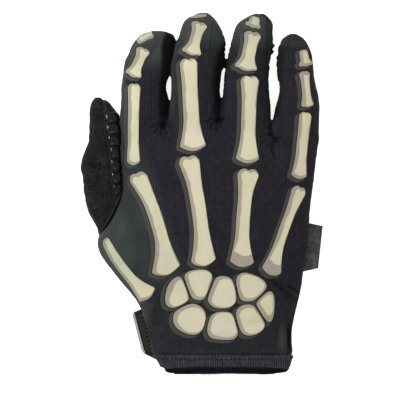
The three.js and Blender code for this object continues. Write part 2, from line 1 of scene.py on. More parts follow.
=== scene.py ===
# %% [markdown]
# # A tactical glove for the right hand
# The glove lies palm down on a white table and is seen from straight above. Its back is one
# piece of ribbed stretch knit with the bones of a hand printed on it. The packed model gives
# the place and the size of every piece. These cells give each one its cloth, seams and print.

# %% The packed model
import math

import bmesh
import bpy
import numpy as np
from mathutils import Matrix, Vector, noise
from mathutils.bvhtree import BVHTree
from mathutils.kdtree import KDTree


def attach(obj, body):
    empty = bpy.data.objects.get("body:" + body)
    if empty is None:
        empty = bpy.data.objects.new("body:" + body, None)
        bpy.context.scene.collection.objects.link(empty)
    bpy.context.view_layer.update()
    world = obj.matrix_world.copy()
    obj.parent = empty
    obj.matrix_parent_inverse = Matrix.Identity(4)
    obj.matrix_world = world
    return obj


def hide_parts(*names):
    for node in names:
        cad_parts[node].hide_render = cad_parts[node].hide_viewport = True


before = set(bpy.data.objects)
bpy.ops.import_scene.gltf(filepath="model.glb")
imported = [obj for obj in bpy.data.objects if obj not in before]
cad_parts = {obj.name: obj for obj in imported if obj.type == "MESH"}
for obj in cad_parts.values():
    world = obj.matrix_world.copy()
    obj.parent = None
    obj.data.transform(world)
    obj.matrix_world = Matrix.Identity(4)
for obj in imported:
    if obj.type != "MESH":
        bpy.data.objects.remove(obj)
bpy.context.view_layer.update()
MM = 0.001

# %% [markdown]
# ## The measures of the glove
# Every number here is in millimetres. The tables are the ones that the model was drawn from,
# so the cloth keeps the model's outline. A section is one slice across the palm, a finger or
# the thumb. Its places are shares of a length or a width, and a smooth curve joins them.

# %% Sizes of the palm
ORIGIN_X, ORIGIN_Y = 11.244, -112.32
SPAN, PALM_LENGTH, PALM_THICK = 126.7, 156.5, 25.0
# how far the strap lifts the wrist, and how far the sole reaches past the top there
STRAP_LIFT, WRIST_LEAN = 2.65, 5.9
# how square a section is above and below, and how much its sole is flattened
UPPER_POWER, LOWER_POWER, FLATTEN = 2.35, 2.8, 1.16
CROTCH_Y = ORIGIN_Y + PALM_LENGTH
WALL, HEM_WALL = 1.5, 2.0

# along, left, right, top, lift, lean
PALM = [
    (-0.07, 0.262, 0.345, 0.70, 1, 1), (0.014, 0.298, 0.357, 0.74, 1, 1), (0.057, 0.333, 0.367, 0.77, 1, 0.6),
    (0.139, 0.357, 0.365, 0.82, 1, 0.1), (0.209, 0.38, 0.376, 0.86, 1, 0), (0.27, 0.41, 0.391, 0.9, 1, 0),
    (0.344, 0.482, 0.408, 0.95, 1, 0), (0.413, 0.551, 0.419, 0.98, 1, 0), (0.487, 0.608, 0.434, 1.0, 0.4, 0),
    (0.536, 0.611, 0.444, 1.0, 0, 0), (0.585, 0.572, 0.448, 1.0, 0, 0), (0.642, 0.532, 0.454, 0.99, 0, 0),
    (0.712, 0.499, 0.464, 0.97, 0, 0), (0.793, 0.491, 0.479, 0.93, 0, 0), (0.896, 0.503, 0.492, 0.86, 0, 0),
    (0.957, 0.504, 0.5, 0.73, 0, 0), (1.0, 0.488, 0.486, 0.5, 0, 0),
]

# x, y, long, wide, turn, depth
PALM_DENTS = [
    (-0.43, 0.66, 0.16, 0.08, 24, 0.08), (0.0, 0.74, 0.12, 0.3, 0, 0.035),
    (0.33, 0.33, 0.17, 0.07, 58, 0.06), (0.33, 0.13, 0.13, 0.08, 28, 0.08),
    (-0.3, 0.2, 0.14, 0.08, -14, 0.05), (-0.24, 0.93, 0.12, 0.06, 0, 0.05),
    (0.01, 0.93, 0.12, 0.06, 0, 0.05), (0.26, 0.9, 0.14, 0.06, -4, 0.06),
]

print("palm:", round(SPAN * max(row[1] + row[2] for row in PALM)), "mm wide,", len(PALM), "sections")

# %% Sizes of the fingers
# name, root's middle, width, thickness, length
FINGERS = [
    ("index", -48.25, 30.2, 19.0, 60.2), ("middle", -16.05, 32.4, 19.8, 71.5),
    ("ring", 16.85, 31.6, 19.4, 71.3), ("little", 48.45, 29.8, 18.0, 58.4),
]

TIP_Y = CROTCH_Y + FINGERS[1][4]

# along, side, wide, top, sole
FINGER_SECTIONS = {
    "index": [
        (-0.34, 0.2, 0.5, 0.7, 0), (-0.1, 0.0, 0.96, 0.94, 0), (0.09, -0.019, 0.996, 0.99, 0),
        (0.26, 0.002, 1.0, 0.96, 0), (0.4, -0.019, 0.954, 0.93, 0), (0.55, 0.025, 0.965, 0.91, 0),
        (0.664, 0.07, 0.97, 0.88, 0), (0.771, 0.145, 0.93, 0.84, 0), (0.849, 0.185, 0.9, 0.79, 0),
        (0.915, 0.235, 0.82, 0.72, 0.02), (0.973, 0.278, 0.6, 0.6, 0.1), (1.0, 0.292, 0.25, 0.48, 0.24),
    ],
    "middle": [
        (-0.28, 0.0, 0.5, 0.7, 0), (-0.08, 0.0, 0.88, 0.94, 0), (0.076, -0.009, 0.938, 0.99, 0),
        (0.237, 0.018, 0.964, 0.96, 0), (0.38, 0.031, 0.978, 0.94, 0), (0.479, 0.048, 1.0, 0.92, 0),
        (0.559, 0.083, 1.05, 0.9, 0), (0.649, 0.098, 1.0, 0.88, 0), (0.72, 0.127, 0.985, 0.85, 0),
        (0.8, 0.135, 0.89, 0.81, 0), (0.895, 0.12, 0.729, 0.74, 0.02), (0.95, 0.115, 0.573, 0.65, 0.09),
        (1.0, 0.16, 0.24, 0.48, 0.24),
    ],
    "ring": [
        (-0.28, 0.0, 0.5, 0.7, 0), (-0.08, 0.0, 0.92, 0.94, 0), (0.076, 0.0, 1.0, 0.99, 0),
        (0.238, 0.003, 0.942, 0.96, 0), (0.38, 0.005, 0.909, 0.94, 0), (0.48, 0.015, 0.885, 0.92, 0),
        (0.56, 0.051, 0.867, 0.9, 0), (0.669, 0.092, 0.865, 0.87, 0), (0.758, 0.125, 0.84, 0.84, 0),
        (0.848, 0.145, 0.78, 0.79, 0.01), (0.92, 0.185, 0.68, 0.72, 0.03), (0.974, 0.241, 0.405, 0.6, 0.12),
        (1.0, 0.28, 0.2, 0.48, 0.24),
    ],
    "little": [
        (-0.36, -0.2, 0.5, 0.7, 0), (-0.1, 0.0, 0.96, 0.94, 0), (0.027, 0.012, 1.0, 0.99, 0),
        (0.159, 0.042, 0.949, 0.97, 0), (0.29, 0.064, 0.861, 0.95, 0), (0.4, 0.059, 0.786, 0.93, 0),
        (0.51, 0.0215, 0.775, 0.91, 0), (0.674, -0.012, 0.777, 0.87, 0), (0.78, -0.0225, 0.7345, 0.82, 0),
        (0.893, -0.0376, 0.571, 0.72, 0.03), (0.97, -0.049, 0.33, 0.59, 0.13),
        (1.0, -0.053, 0.14, 0.48, 0.24),
    ],
}

print("the longest finger ends at", round(TIP_Y, 1), "mm")

# %% Sizes of the thumb
# along, right, wide, top, sole
THUMB_LENGTH, THUMB_WIDTH, THUMB_THICK = 102.0, 25.6, 17.0
THUMB_FOOT_Y = ORIGIN_Y + 0.46 * PALM_LENGTH
INDEX_SIDE = ORIGIN_X - SPAN * 0.493 - 0.5
THUMB = [
    (-0.1, -0.52, 0.62, 0.6, 0.3), (0.01, -0.435, 0.78, 0.76, 0.2), (0.1, -0.335, 0.85, 0.88, 0.08),
    (0.19, -0.21, 0.85, 0.96, 0), (0.278, -0.11, 0.94, 1.0, 0), (0.385, -0.035, 0.96, 1.02, 0),
    (0.492, 0.028, 0.94, 1.02, 0), (0.573, 0.078, 0.94, 1.0, 0), (0.636, 0.1, 0.85, 0.97, 0),
    (0.717, 0.1, 0.74, 0.93, 0), (0.824, 0.095, 0.72, 0.88, 0), (0.893, 0.14, 0.66, 0.82, 0.01),
    (0.937, 0.25, 0.54, 0.75, 0.04), (0.981, 0.4, 0.325, 0.62, 0.13), (1.0, 0.55, 0.125, 0.5, 0.24),
]
print("thumb:", THUMB_LENGTH, "mm long from", round(THUMB_FOOT_Y, 1), "mm")


# %% Curves
def ramp(value, length=1):
    """0 where the value is below 0, 1 where it is past the length, and a straight rise between."""
    return np.clip(value / length, 0, 1)


def bell(value, reach, power=2):
    """1 where the value is 0, falling off on both sides; a higher power gives it a flat top."""
    return np.exp(-((value / reach) ** power))


def through(rows, column, along):
    """A smooth curve through one column of a table, read at any place along it."""
    table = np.array(rows, float)
    places, values = table[:, 0], table[:, column]
    slopes = np.gradient(values, places)
    i = np.clip(np.searchsorted(places, along) - 1, 0, len(places) - 2)
    span = places[i + 1] - places[i]
    t = ramp(along - places[i], span)
    start = (1 + 2 * t) * (1 - t) ** 2 * values[i] + t * (1 - t) ** 2 * span * slopes[i]
    return start + t * t * (3 - 2 * t) * values[i + 1] - t * t * (1 - t) * span * slopes[i + 1]


print("half way up the thumb its width is", round(float(through(THUMB, 2, 0.5) * THUMB_WIDTH), 1), "mm")

# %% [markdown]
# ## A soft tube
# A glove is a palm bag with five tubes on it. Each could be a stack of circles, a sculpted
# block or a bent grid. A grid is the shortest way: it is rolled up so that its columns go
# round the tube and its rows lie on the sections, and then its seam is merged.

# %% Rolling a grid into a tube
def rolled(sections, around, rings):
    """A closed tube, from a grid whose points go to the places that sections gives."""
    mesh = bmesh.new()
    bmesh.ops.create_grid(mesh, x_segments=around, y_segments=rings, size=1)
    flat = np.array([vert.co for vert in mesh.verts])
    turn, share = math.pi * (flat[:, 0] + 1), (flat[:, 1] + 1) / 2
    left, right, top, sole, y, lean = sections(share)
    across, up = np.sin(turn), np.cos(turn)
    power = np.where(up > 0, 2 / UPPER_POWER, 2 / LOWER_POWER)
    wide = np.sign(across) * np.abs(across) ** power
    high = np.sign(up) * np.abs(up) ** power
    high = np.where(high < 0, np.maximum(-1, high * FLATTEN), high)
    x = (left + right) / 2 + wide * (right - left) / 2
    z = (top + sole) / 2 + high * (top - sole) / 2
    for vert, place in zip(mesh.verts, np.stack([x, y + lean * (high - 1) / 2, z], 1)):
        vert.co = place * MM
    bmesh.ops.remove_doubles(mesh, verts=mesh.verts, dist=1e-6)
    bmesh.ops.holes_fill(mesh, edges=mesh.edges, sides=0)
    bmesh.ops.recalc_face_normals(mesh, faces=mesh.faces)
    return mesh


print("upper and lower roundness of a section:", UPPER_POWER, LOWER_POWER)


# %% The palm's sections
PALM_START = PALM[0][0]


def palm_sections(share):
    along = PALM_START + (1 - PALM_START) * share
    left, right, top, lift, lean = [through(PALM, i, along) for i in range(1, 6)]
    sides = ORIGIN_X - SPAN * left, ORIGIN_X + SPAN * right
    return *sides, top * PALM_THICK, lift * STRAP_LIFT, ORIGIN_Y + along * PALM_LENGTH, lean * WRIST_LEAN


def in_palm(points):
    """How far across the palm each place lies, from -1 to 1, and half its width, top and sole there."""
    along = (points[:, 1] - ORIGIN_Y) / PALM_LENGTH
    left, right, top, sole = palm_sections((along - PALM_START) / (1 - PALM_START))[:4]
    half = (right - left) / 2
    return (points[:, 0] - (left + right) / 2) / half, half, top, sole


print("the palm begins at", round(ORIGIN_Y + PALM_START * PALM_LENGTH, 1), "mm, before its edge is cut")

# %% The sections of the fingers and the thumb
# finger, side, y, reach along and how far the wall leans out (or in) where fingers touch
LEANS = [
    ("index", 1, 51.0, 8.0, 1.1), ("index", 1, 79.0, 5.5, 1.0), ("middle", -1, 51.0, 8.0, 0.6),
    ("middle", -1, 79.0, 5.5, 0.6), ("middle", 1, 51.0, 8.5, 1.0), ("ring", -1, 51.0, 8.5, 0.9),
    ("middle", 1, 72.5, 10.5, -0.4), ("ring", -1, 72.5, 10.5, -0.1),
]
# the rings of a finger and of the thumb stand closer together towards the tip
FINGER_CROWDING, THUMB_CROWDING = 1.3, 1.2


def finger_sections(finger):
    name, root, width, thick, length = finger
    rows = FINGER_SECTIONS[name]

    def sections(share):
        along = rows[0][0] + (1 - rows[0][0]) * (1 - (1 - share) ** FINGER_CROWDING)
        side, wide, top, sole = [through(rows, i, along) for i in range(1, 5)]
        middle, half, y = ORIGIN_X + root + side * width, wide * width / 2, CROTCH_Y + along * length
        walls = {-1: middle - half, 1: middle + half}
        for owner, way, place, reach, out in LEANS:
            if owner == name:
                walls[way] = walls[way] + way * out * bell(y - place, reach, 4)
        return walls[-1], walls[1], top * thick, sole * thick, y, 0 * along

    return sections


THUMB_START = THUMB[0][0]


def thumb_sections(share):
    along = THUMB_START + (1 - THUMB_START) * (1 - (1 - share) ** THUMB_CROWDING)
    right, wide, top, sole = [through(THUMB, i, along) for i in range(1, 5)]
    y = THUMB_FOOT_Y + along * THUMB_LENGTH
    edge = INDEX_SIDE - right * THUMB_WIDTH
    touching = edge + 2.3 * bell(y - 28, 27, 4)
    return edge - wide * THUMB_WIDTH, touching, top * THUMB_THICK, sole * THUMB_THICK, y, 0 * along


print("tubes: palm,", ", ".join(finger[0] for finger in FINGERS), "and thumb")

# %% [markdown]
# ## One skin over palm and fingers
# The tubes pass through each other at the knuckles. A boolean would leave hard creases there,
# where real knit flows from the hand into the fingers. A voxel remesh grows one even skin
# over all five, and a few rounds of smoothing take away its small steps.

# %% Remeshing and smoothing
def as_object(mesh, name):
    data = bpy.data.meshes.new(name)
    mesh.to_mesh(data)
    mesh.free()
    piece = bpy.data.objects.new(name, data)
    bpy.context.scene.collection.objects.link(piece)
    return piece


def smooth_object(mesh, name):
    """A finished closed piece: faces turned outwards and shaded smooth."""
    bmesh.ops.recalc_face_normals(mesh, faces=mesh.faces)
    for face in mesh.faces:
        face.smooth = True
    return as_object(mesh, name)


def smooth(mesh, verts, rounds):
    axes = {f"use_axis_{axis}": True for axis in "xyz"}
    for _ in range(rounds):
        bmesh.ops.smooth_vert(mesh, verts=verts, factor=0.5, **axes)
    mesh.normal_update()


def one_skin(parts, voxel, rounds):
    """The parts as one smooth closed mesh with even faces."""
    mesh = bmesh.new()
    for part in parts:
        data = bpy.data.meshes.new("part")
        part.to_mesh(data)
        part.free()
        mesh.from_mesh(data)
        bpy.data.meshes.remove(data)
    rough = as_object(mesh, "rough")
    remesh = rough.modifiers.new("skin", "REMESH")
    remesh.mode, remesh.voxel_size = "VOXEL", voxel * MM
    found = rough.evaluated_get(bpy.context.evaluated_depsgraph_get())
    skin = bmesh.new()
    skin.from_mesh(found.data)
    bpy.data.objects.remove(rough)
    smooth(skin, skin.verts, rounds)
    return skin


VOXEL = 0.86
hand = one_skin(
    [rolled(palm_sections, 72, 110)] + [rolled(finger_sections(finger), 40, 60) for finger in FINGERS],
    VOXEL, 5,
)
knuckles = [vert for vert in hand.verts if vert.normal.z > 0.3 and -14 < vert.co.y / MM - CROTCH_Y < 8]
smooth(hand, knuckles, 60)
print("the hand's skin has", len(hand.faces), "faces")

# %% [markdown]
# ## Dents, folds and wrinkles
# Cloth that lies empty sinks between its seams and creases where it was bent. Cloth
# simulation could find such folds, but not the ones that this glove has. So they are pressed
# in one by one: soft round dents, folds along a line with a raised lip on each side, a little
# unevenness everywhere, and puckers where a finger's wall is gathered.

# %% Tools for the relief
def places_of(mesh):
    return np.array([vert.co for vert in mesh.verts]) / MM


def normals_of(mesh):
    return np.array([vert.normal for vert in mesh.verts])


def put(mesh, places):
    for vert, place in zip(mesh.verts, places):
        vert.co = place * MM
    mesh.normal_update()


def bump_noise(places, size, seed):
    shift = Vector((seed, 0, 0))
    return np.array([noise.noise(Vector(place) / size + shift) for place in places])


def fold(places, start, end, wide, depth):
    """How far a fold lowers the cloth: a valley between two lips that ends softly."""
    start, end = np.array(start), np.array(end)
    line = end - start
    along = (places[:, :2] - start) @ line / (line @ line)
    away = (places[:, 0] - start[0]) * line[1] - (places[:, 1] - start[1]) * line[0]
    away = np.abs(away) / np.hypot(*line)
    ends = ramp(1 - (2 * along - 1) ** 2) ** 0.6 * ((along > 0) & (along < 1))
    return depth * ends * (bell(away, wide) - 0.45 * bell(away - 2.1 * wide, wide))


places, normals = places_of(hand), normals_of(hand)
print("points on the skin:", len(places))

# %% Where it is folded, gathered and bunched
# start, end, width and depth of each fold on the back
FOLDS = [
    ((43.0, -53.5), (61.0, -70.0), 1.2, 2.0), ((53.5, -58.0), (62.0, -63.6), 1.1, 1.6),
    ((54.2, -82.0), (54.8, -101.0), 1.2, 1.1), ((51.4, -84.0), (52.0, -101.0), 1.6, -0.5),
    ((33.0, -84.0), (49.0, -97.0), 2.6, 0.5), ((-36.0, -82.0), (-27.0, -98.0), 2.2, 0.7),
    ((-62.0, -36.0), (-42.0, -62.0), 2.4, 0.6), ((-50.0, -8.0), (-58.0, -34.0), 2.6, 0.9),
    ((-48.0, 24.0), (-44.0, 6.0), 2.4, 0.5), ((44.0, 34.0), (47.0, 22.0), 1.1, 1.6),
    ((6.5, 46.0), (9.5, 60.0), 1.2, 0.9), ((-24.0, 40.0), (-22.0, 52.0), 1.4, 0.9),
    ((36.5, 113.5), (43.0, 109.0), 0.8, 0.9), ((39.0, 115.0), (44.5, 112.0), 0.8, 0.8),
    ((35.0, 109.0), (41.5, 105.5), 0.9, 0.5), ((-33.0, 84.0), (-27.0, 100.0), 1.6, 0.5),
    ((8.0, -90.0), (32.0, -94.5), 2.2, 0.55), ((-14.0, -97.5), (8.0, -100.0), 1.8, 0.4),
    ((26.0, -84.5), (46.0, -80.0), 2.2, 0.45), ((-22.0, -84.0), (-10.0, -93.0), 2.0, 0.5),
]
# the middle of each crotch, how many creases run away from it, and how long they are
CROTCH_CREASES = [((-25.6, 45.0), 5, 8.0), ((9.6, 48.0), 5, 8.0), ((44.2, 38.5), 6, 9.0)]
for (x, y), count, long in CROTCH_CREASES:
    for turn in np.radians(np.linspace(-155, -25, count)):
        far = (x + long * math.cos(turn), y + long * math.sin(turn))
        FOLDS.append(((x, y), far, 0.95, 1.3))
# x, y, reach across and along, depth of each gathered stretch of a finger's wall
GATHERS = [(44.7, 84.0, 5.5, 15.0, 0.3), (49.5, 80.0, 4.5, 13.0, 0.08), (15.4, 86.0, 4.0, 18.0, 0.18)]
# x, y, reach and height of the knots where the ring finger's wall is bunched up
KNOTS = [(44.6, 94.6, 1.6, 1.7), (45.2, 90.6, 1.5, 2.0), (44.0, 79.0, 2.1, 1.7)]
print("folds and creases:", len(FOLDS), "gathers and knots:", len(GATHERS) + len(KNOTS))

# %% Pressing it in
upward = ramp(normals[:, 2] * 1.6)
sink = np.zeros(len(places))
for x, y, long, wide, turn, depth in PALM_DENTS:
    away_x = places[:, 0] - ORIGIN_X - x * SPAN
    away_y = places[:, 1] - ORIGIN_Y - y * PALM_LENGTH
    cosine, sine = math.cos(math.radians(turn)), math.sin(math.radians(turn))
    across, along = cosine * away_x + sine * away_y, cosine * away_y - sine * away_x
    reach = np.hypot(across / wide, along / long) / PALM_LENGTH
    sink += depth * PALM_THICK * ramp(1 - reach**2) ** 2
for start, end, wide, depth in FOLDS:
    sink += fold(places, start, end, wide, depth)
places[:, 2] -= sink * upward
swell = 0.55 * bump_noise(places, 17, 3) + 0.22 * bump_noise(places, 6, 9)
sideways = ramp(1.4 * np.abs(normals[:, 0]) - 0.3)
gathered = 0.07 * ramp(places[:, 1] - CROTCH_Y, 10)
for x, y, across, along, depth in GATHERS:
    gathered += depth * bell(places[:, 0] - x, across, 4) * bell(places[:, 1] - y, along, 4)
for x, y, reach, high in KNOTS:
    swell += high * sideways * bell(places[:, 0] - x, reach) * bell(places[:, 1] - y, reach)
pucker = np.sin(places[:, 1] * 1.1 + 6.5 * bump_noise(places, 7, 5)) * sideways * gathered
places += normals * (swell + pucker)[:, None]
places[:, 2] = np.maximum(places[:, 2], 0.05)
put(hand, places)
print("deepest dent or fold:", round(float(sink.max()), 2), "mm")

# %% [markdown]
# ## Where the panels meet
# A glove is sewn from flat panels. The back panel's seam runs low round the palm and up along
# the fingers, strips form the walls between the fingers, and two tips are capped with suede.
# The skin is cut by planes, each face is given its panel, and the cloth is pulled in along
# every seam, as thread does.

# %% Cutting the skin
# the hem's seam and the wrist's edge, the back panel's seam, the strips and the two caps
HEM_Y = ORIGIN_Y + 9.6
RIM_Y, RIM_HIGH, RIM_SLOPE = -110.1, 19, 0.349
TURN_Y = CROTCH_Y - PALM_LENGTH / 4
TURN_HIGH, TIP_HIGH = 11.0, 7.2
SLOPE = (TIP_HIGH - TURN_HIGH) / (TIP_Y - TURN_Y)
STRIP_HEIGHT, STRIP_END, LITTLE_CAP_DEPTH = 5.4, 13.0, 9.2
STRIP_Y = CROTCH_Y - 3.6
CAP_Y = CROTCH_Y + FINGERS[3][4] - LITTLE_CAP_DEPTH
CORNER, CORNER_WAY = (42.4, 110.7), (0.643, 0.766)


def seam_height(y):
    return np.interp(y, [TURN_Y, TIP_Y], [TURN_HIGH, TIP_HIGH])


def centres(mesh):
    return np.array([face.calc_center_median() for face in mesh.faces]) / MM


def cut(mesh, chosen, point, normal, clear=False):
    """Cuts the chosen faces by a plane, and takes away what lies beyond it if asked."""
    mesh.faces.ensure_lookup_table()
    faces = [mesh.faces[i] for i in np.flatnonzero(chosen)]
    edges = {edge for face in faces for edge in face.edges}
    verts = {vert for face in faces for vert in face.verts}
    bmesh.ops.bisect_plane(
        mesh, geom=faces + list(edges) + list(verts), dist=0.13 * MM,
        plane_co=Vector(point) * MM, plane_no=Vector(normal).normalized(), clear_outer=clear,
    )


cut(hand, np.ones(len(hand.faces), bool), (0, RIM_Y, RIM_HIGH), (0, -1, RIM_SLOPE), clear=True)
cut(hand, centres(hand)[:, 1] < HEM_Y + 4, (0, HEM_Y, 0), (0, 1, 0))
cut(hand, np.abs(centres(hand)[:, 1] - TURN_Y) < 4, (0, TURN_Y, 0), (0, 1, 0))
middle = centres(hand)
cut(hand, (middle[:, 1] < TURN_Y) & (middle[:, 1] > HEM_Y), (0, TURN_Y, TURN_HIGH), (0, 0, 1))
for lower in (0, STRIP_HEIGHT):
    cut(hand, centres(hand)[:, 1] > TURN_Y, (0, TURN_Y, TURN_HIGH - lower), (0, -SLOPE, 1))
cut(hand, np.abs(centres(hand)[:, 1] - STRIP_Y) < 4, (0, STRIP_Y, 0), (0, 1, 0))
middle = centres(hand)
cut(hand, (middle[:, 0] > 44) & (middle[:, 1] > 85), (0, CAP_Y, 0), (0, 1, 0))
middle = centres(hand)
cut(hand, (middle[:, 0] > 34) & (middle[:, 0] < 47) & (middle[:, 1] > 100), (*CORNER, 0), (*CORNER_WAY, 0))
print("faces after the cuts:", len(hand.faces))


# %% The panel of each face
def finger_middle(number, y):
    name, root, width, _, length = FINGERS[number]
    return ORIGIN_X + root + width * through(FINGER_SECTIONS[name], 1, (y - CROTCH_Y) / length)


def finger_half(number, y):
    """Half a finger's width at a place along the hand."""
    name, _, width, _, length = FINGERS[number]
    return through(FINGER_SECTIONS[name], 2, ramp(y - CROTCH_Y, length)) * width / 2


def panel_of_each(middle):
    """The panel that each place on the skin belongs to, as a number in PANELS."""
    x, y, z = middle.T
    above = z > seam_height(y)
    panel = np.where(above, 0, 1)
    panel[above & (x > 44) & (y > CAP_Y)] = 5
    corner = (x - CORNER[0]) * CORNER_WAY[0] + (y - CORNER[1]) * CORNER_WAY[1]
    panel[above & (x > 30) & (x < 47) & (corner > 0)] = 6
    for i in range(3):
        first, second = finger_middle(i, y), finger_middle(i + 1, y)
        length = np.where(x < (first + second) / 2, FINGERS[i][4], FINGERS[i + 1][4])
        strip = (x > first) & (x < second) & (y > STRIP_Y) & (y < CROTCH_Y + length - STRIP_END)
        panel[strip & ~above & (z > seam_height(y) - STRIP_HEIGHT)] = 2 + i
    panel[y < HEM_Y] = 7
    return panel


PANELS = [
    "back_panel", "palm_panel", "fourchette_index_middle", "fourchette_middle_ring",
    "fourchette_ring_little", "little_tip_cap", "ring_tip_cap", "cuff_hem",
]
panel = panel_of_each(centres(hand))
print({name: int((panel == i).sum()) for i, name in enumerate(PANELS)})

# %% Pulling the cloth in along the seams
def sew(mesh, panel, deep):
    """Draws the cloth in where two panels meet, and lets it swell beside the seam."""
    label = dict(zip(mesh.faces, panel))
    points = [vert.co.copy() for vert in mesh.verts if len({label[face] for face in vert.link_faces}) > 1]
    seams = KDTree(len(points))
    for i, point in enumerate(points):
        seams.insert(point, i)
    seams.balance()
    places, normals = places_of(mesh), normals_of(mesh)
    away = np.array([seams.find(vert.co)[2] for vert in mesh.verts]) / MM
    drawn = deep * (bell(away, 0.75) - 0.33 * bell(away - 2.0, 0.9))
    places -= normals * drawn[:, None]
    put(mesh, places)
    print("seam points:", len(points), "drawn in by", deep, "mm")


CORNER_RADIUS = 3.0
sew(hand, panel, 0.62)
places, normals = places_of(hand), normals_of(hand)
places += normals * (0.45 * ramp(HEM_Y - places[:, 1], 1.2))[:, None]
along = (places[:, 1] - ORIGIN_Y) / PALM_LENGTH
left, right = ORIGIN_X - SPAN * through(PALM, 1, along), ORIGIN_X + SPAN * through(PALM, 2, along)
from_edge = np.minimum(places[:, 0] - left, right - places[:, 0]).clip(0, CORNER_RADIUS)
rounding = CORNER_RADIUS - np.sqrt(CORNER_RADIUS**2 - (CORNER_RADIUS - from_edge) ** 2)
places[:, 1] += rounding * ramp(HEM_Y - 2.5 - places[:, 1], 4)
places[:, 2] = np.maximum(places[:, 2], 0.03)
put(hand, places)
print("the hem's corners are rounded by", CORNER_RADIUS, "mm")


# %% Making each panel
def panel_piece(skin, panel, number, name):
    """One panel with its edges marked sharp, so that its wall shows as a clean edge."""
    mesh = skin.copy()
    mesh.faces.ensure_lookup_table()
    others = [mesh.faces[i] for i in np.flatnonzero(panel != number)]
    bmesh.ops.delete(mesh, geom=others, context="FACES")
    for face in mesh.faces:
        face.smooth = True
    for edge in mesh.edges:
        edge.smooth = not edge.is_boundary
    return as_object(mesh, name)


def give_wall(piece, thickness):
    """Cloth has two sides: the outer one stays, and the wall grows inwards."""
    wall = piece.modifiers.new("wall", "SOLIDIFY")
    wall.thickness, wall.offset = thickness * MM, -1
    wall.material_offset = wall.material_offset_rim = 1


glove = {}
for number, name in enumerate(PANELS):
    glove[name] = panel_piece(hand, panel, number, "cloth_" + name)
    give_wall(glove[name], HEM_WALL if name == "cuff_hem" else WALL)
hand.free()
print("panels:", {name: len(piece.data.polygons) for name, piece in glove.items()})

# %% [markdown]
# ## The bones of a hand
# The print shows a hand's bones as a school chart does. It could be a picture, but a picture
# blurs when one comes close. Here each long bone is a short formula: a slim shaft between a
# broad base and a head with two knobs. The wrist bones are cells that share one rounded
# field. What is stored on the cloth is the distance to the nearest bone's edge, and the
# material turns that distance into crisp areas of ink.

# %% Places and distances
PIXEL, CENTRE_X, CENTRE_Y = 0.64, 202.18, 193.57


def from_photo(x, y):
    """Millimetres in the model from a place in the photograph's frame."""
    return (x - CENTRE_X) * PIXEL, (CENTRE_Y - y) * PIXEL


def line_from_photo(line):
    return np.array([from_photo(*place) for place in line])


def distance_to_line(points, start, end):
    """The distance to a straight line from start to end."""
    line = end - start
    t = ramp((points - start) @ line, line @ line)
    return np.hypot(*(points - start - t[:, None] * line).T)


def distance_to_outline(points, outline):
    """Signed distance to a closed outline, negative inside."""
    nearest = np.full(len(points), 1e9)
    inside = np.zeros(len(points), bool)
    for start, end in zip(outline, np.roll(outline, -1, axis=0)):
        nearest = np.minimum(nearest, distance_to_line(points, start, end))
        crosses = (start[1] > points[:, 1]) != (end[1] > points[:, 1])
        run, rise = end - start
        rise = rise if abs(rise) > 1e-9 else 1e-9
        inside ^= crosses & (points[:, 0] < start[0] + (points[:, 1] - start[1]) / rise * run)
    return np.where(inside, -nearest, nearest)


print("the photograph's centre is at", from_photo(200, 200), "mm")


# %% The long bones
def long_bone(base, head, base_width, waist, head_width, bend):
    """A long bone's outline between two places, rounded by the radius that comes with it."""
    base, head = np.array(from_photo(*base)), np.array(from_photo(*head))
    length = np.hypot(*(head - base))
    way = (head - base) / length
    across = np.array([way[1], -way[0]])
    widths = np.array([base_width, waist, head_width]) * PIXEL
    radius = min(widths.min() * 0.32, 1.4)
    t = np.linspace(0.03, 0.97, 23)
    to_base, to_head = ramp(0.36 - t, 0.36) ** 1.7, ramp(t - 0.7, 0.3) ** 1.5
    half = (widths[1] + (widths[0] - widths[1]) * to_base + (widths[2] - widths[1]) * to_head) / 2 - radius
    bow = bend * PIXEL * (1 - (2 * t - 1) ** 2)
    s = np.linspace(0.75, -0.75, 7)
    knobs = 0.1 * widths[2] * np.abs(np.sin(math.pi * s))
    foot = 0.09 * widths[0] * np.cos(math.pi * s / 1.5)
    along = np.concatenate([t * length, length - radius * 0.5 + knobs, t[::-1] * length, radius * 0.5 - foot])
    side = np.concatenate([bow + half, s * half[-1], bow[::-1] - half[::-1], -s * half[0]])
    return base + along[:, None] * way + side[:, None] * across, radius


# base, head, widths of base, shaft and head, bend: pixels of the photograph's frame
LONG_BONES = [
    ((138.5, 40.5), (151.0, 34.5), 8.5, 8, 10, 0), ((133.5, 75.0), (143.5, 51.0), 18, 10.5, 15, 0),
    ((133.0, 163.0), (134.5, 86.5), 15.5, 11, 13, 0), ((166.5, 270.5), (137.0, 176.0), 31, 13.5, 20.5, 6),
    ((191.0, 16.6), (206.0, 15.4), 3, 3.8, 3, 0), ((191.5, 53.0), (199.5, 25.0), 21, 11.5, 17, 0),
    ((193.0, 148.0), (188.5, 62.0), 27, 15.5, 18, 0), ((203.5, 262.0), (188.5, 159.5), 26, 14.5, 21.5, 3),
    ((252.8, 26.0), (255.2, 18.5), 17, 11, 8, 0), ((245.5, 68.5), (252.5, 35.0), 24, 13.5, 18, 0),
    ((247.0, 160.5), (249.5, 79.5), 24, 14.5, 19, 0), ((241.5, 263.0), (248.0, 172.5), 25, 13.5, 22.5, -2),
    ((305.5, 64.5), (303.0, 52.0), 15, 9, 8, 0), ((307.0, 105.5), (304.0, 74.0), 13.5, 8.5, 11.5, 0),
    ((298.5, 176.5), (305.0, 115.0), 17, 11.5, 12.5, 0), ((270.5, 271.5), (299.5, 189.5), 21, 10, 16.5, -2),
    ((147.5, 295.0), (105.0, 240.5), 24, 11.5, 10, -3),
]
print("long bones:", len(LONG_BONES))

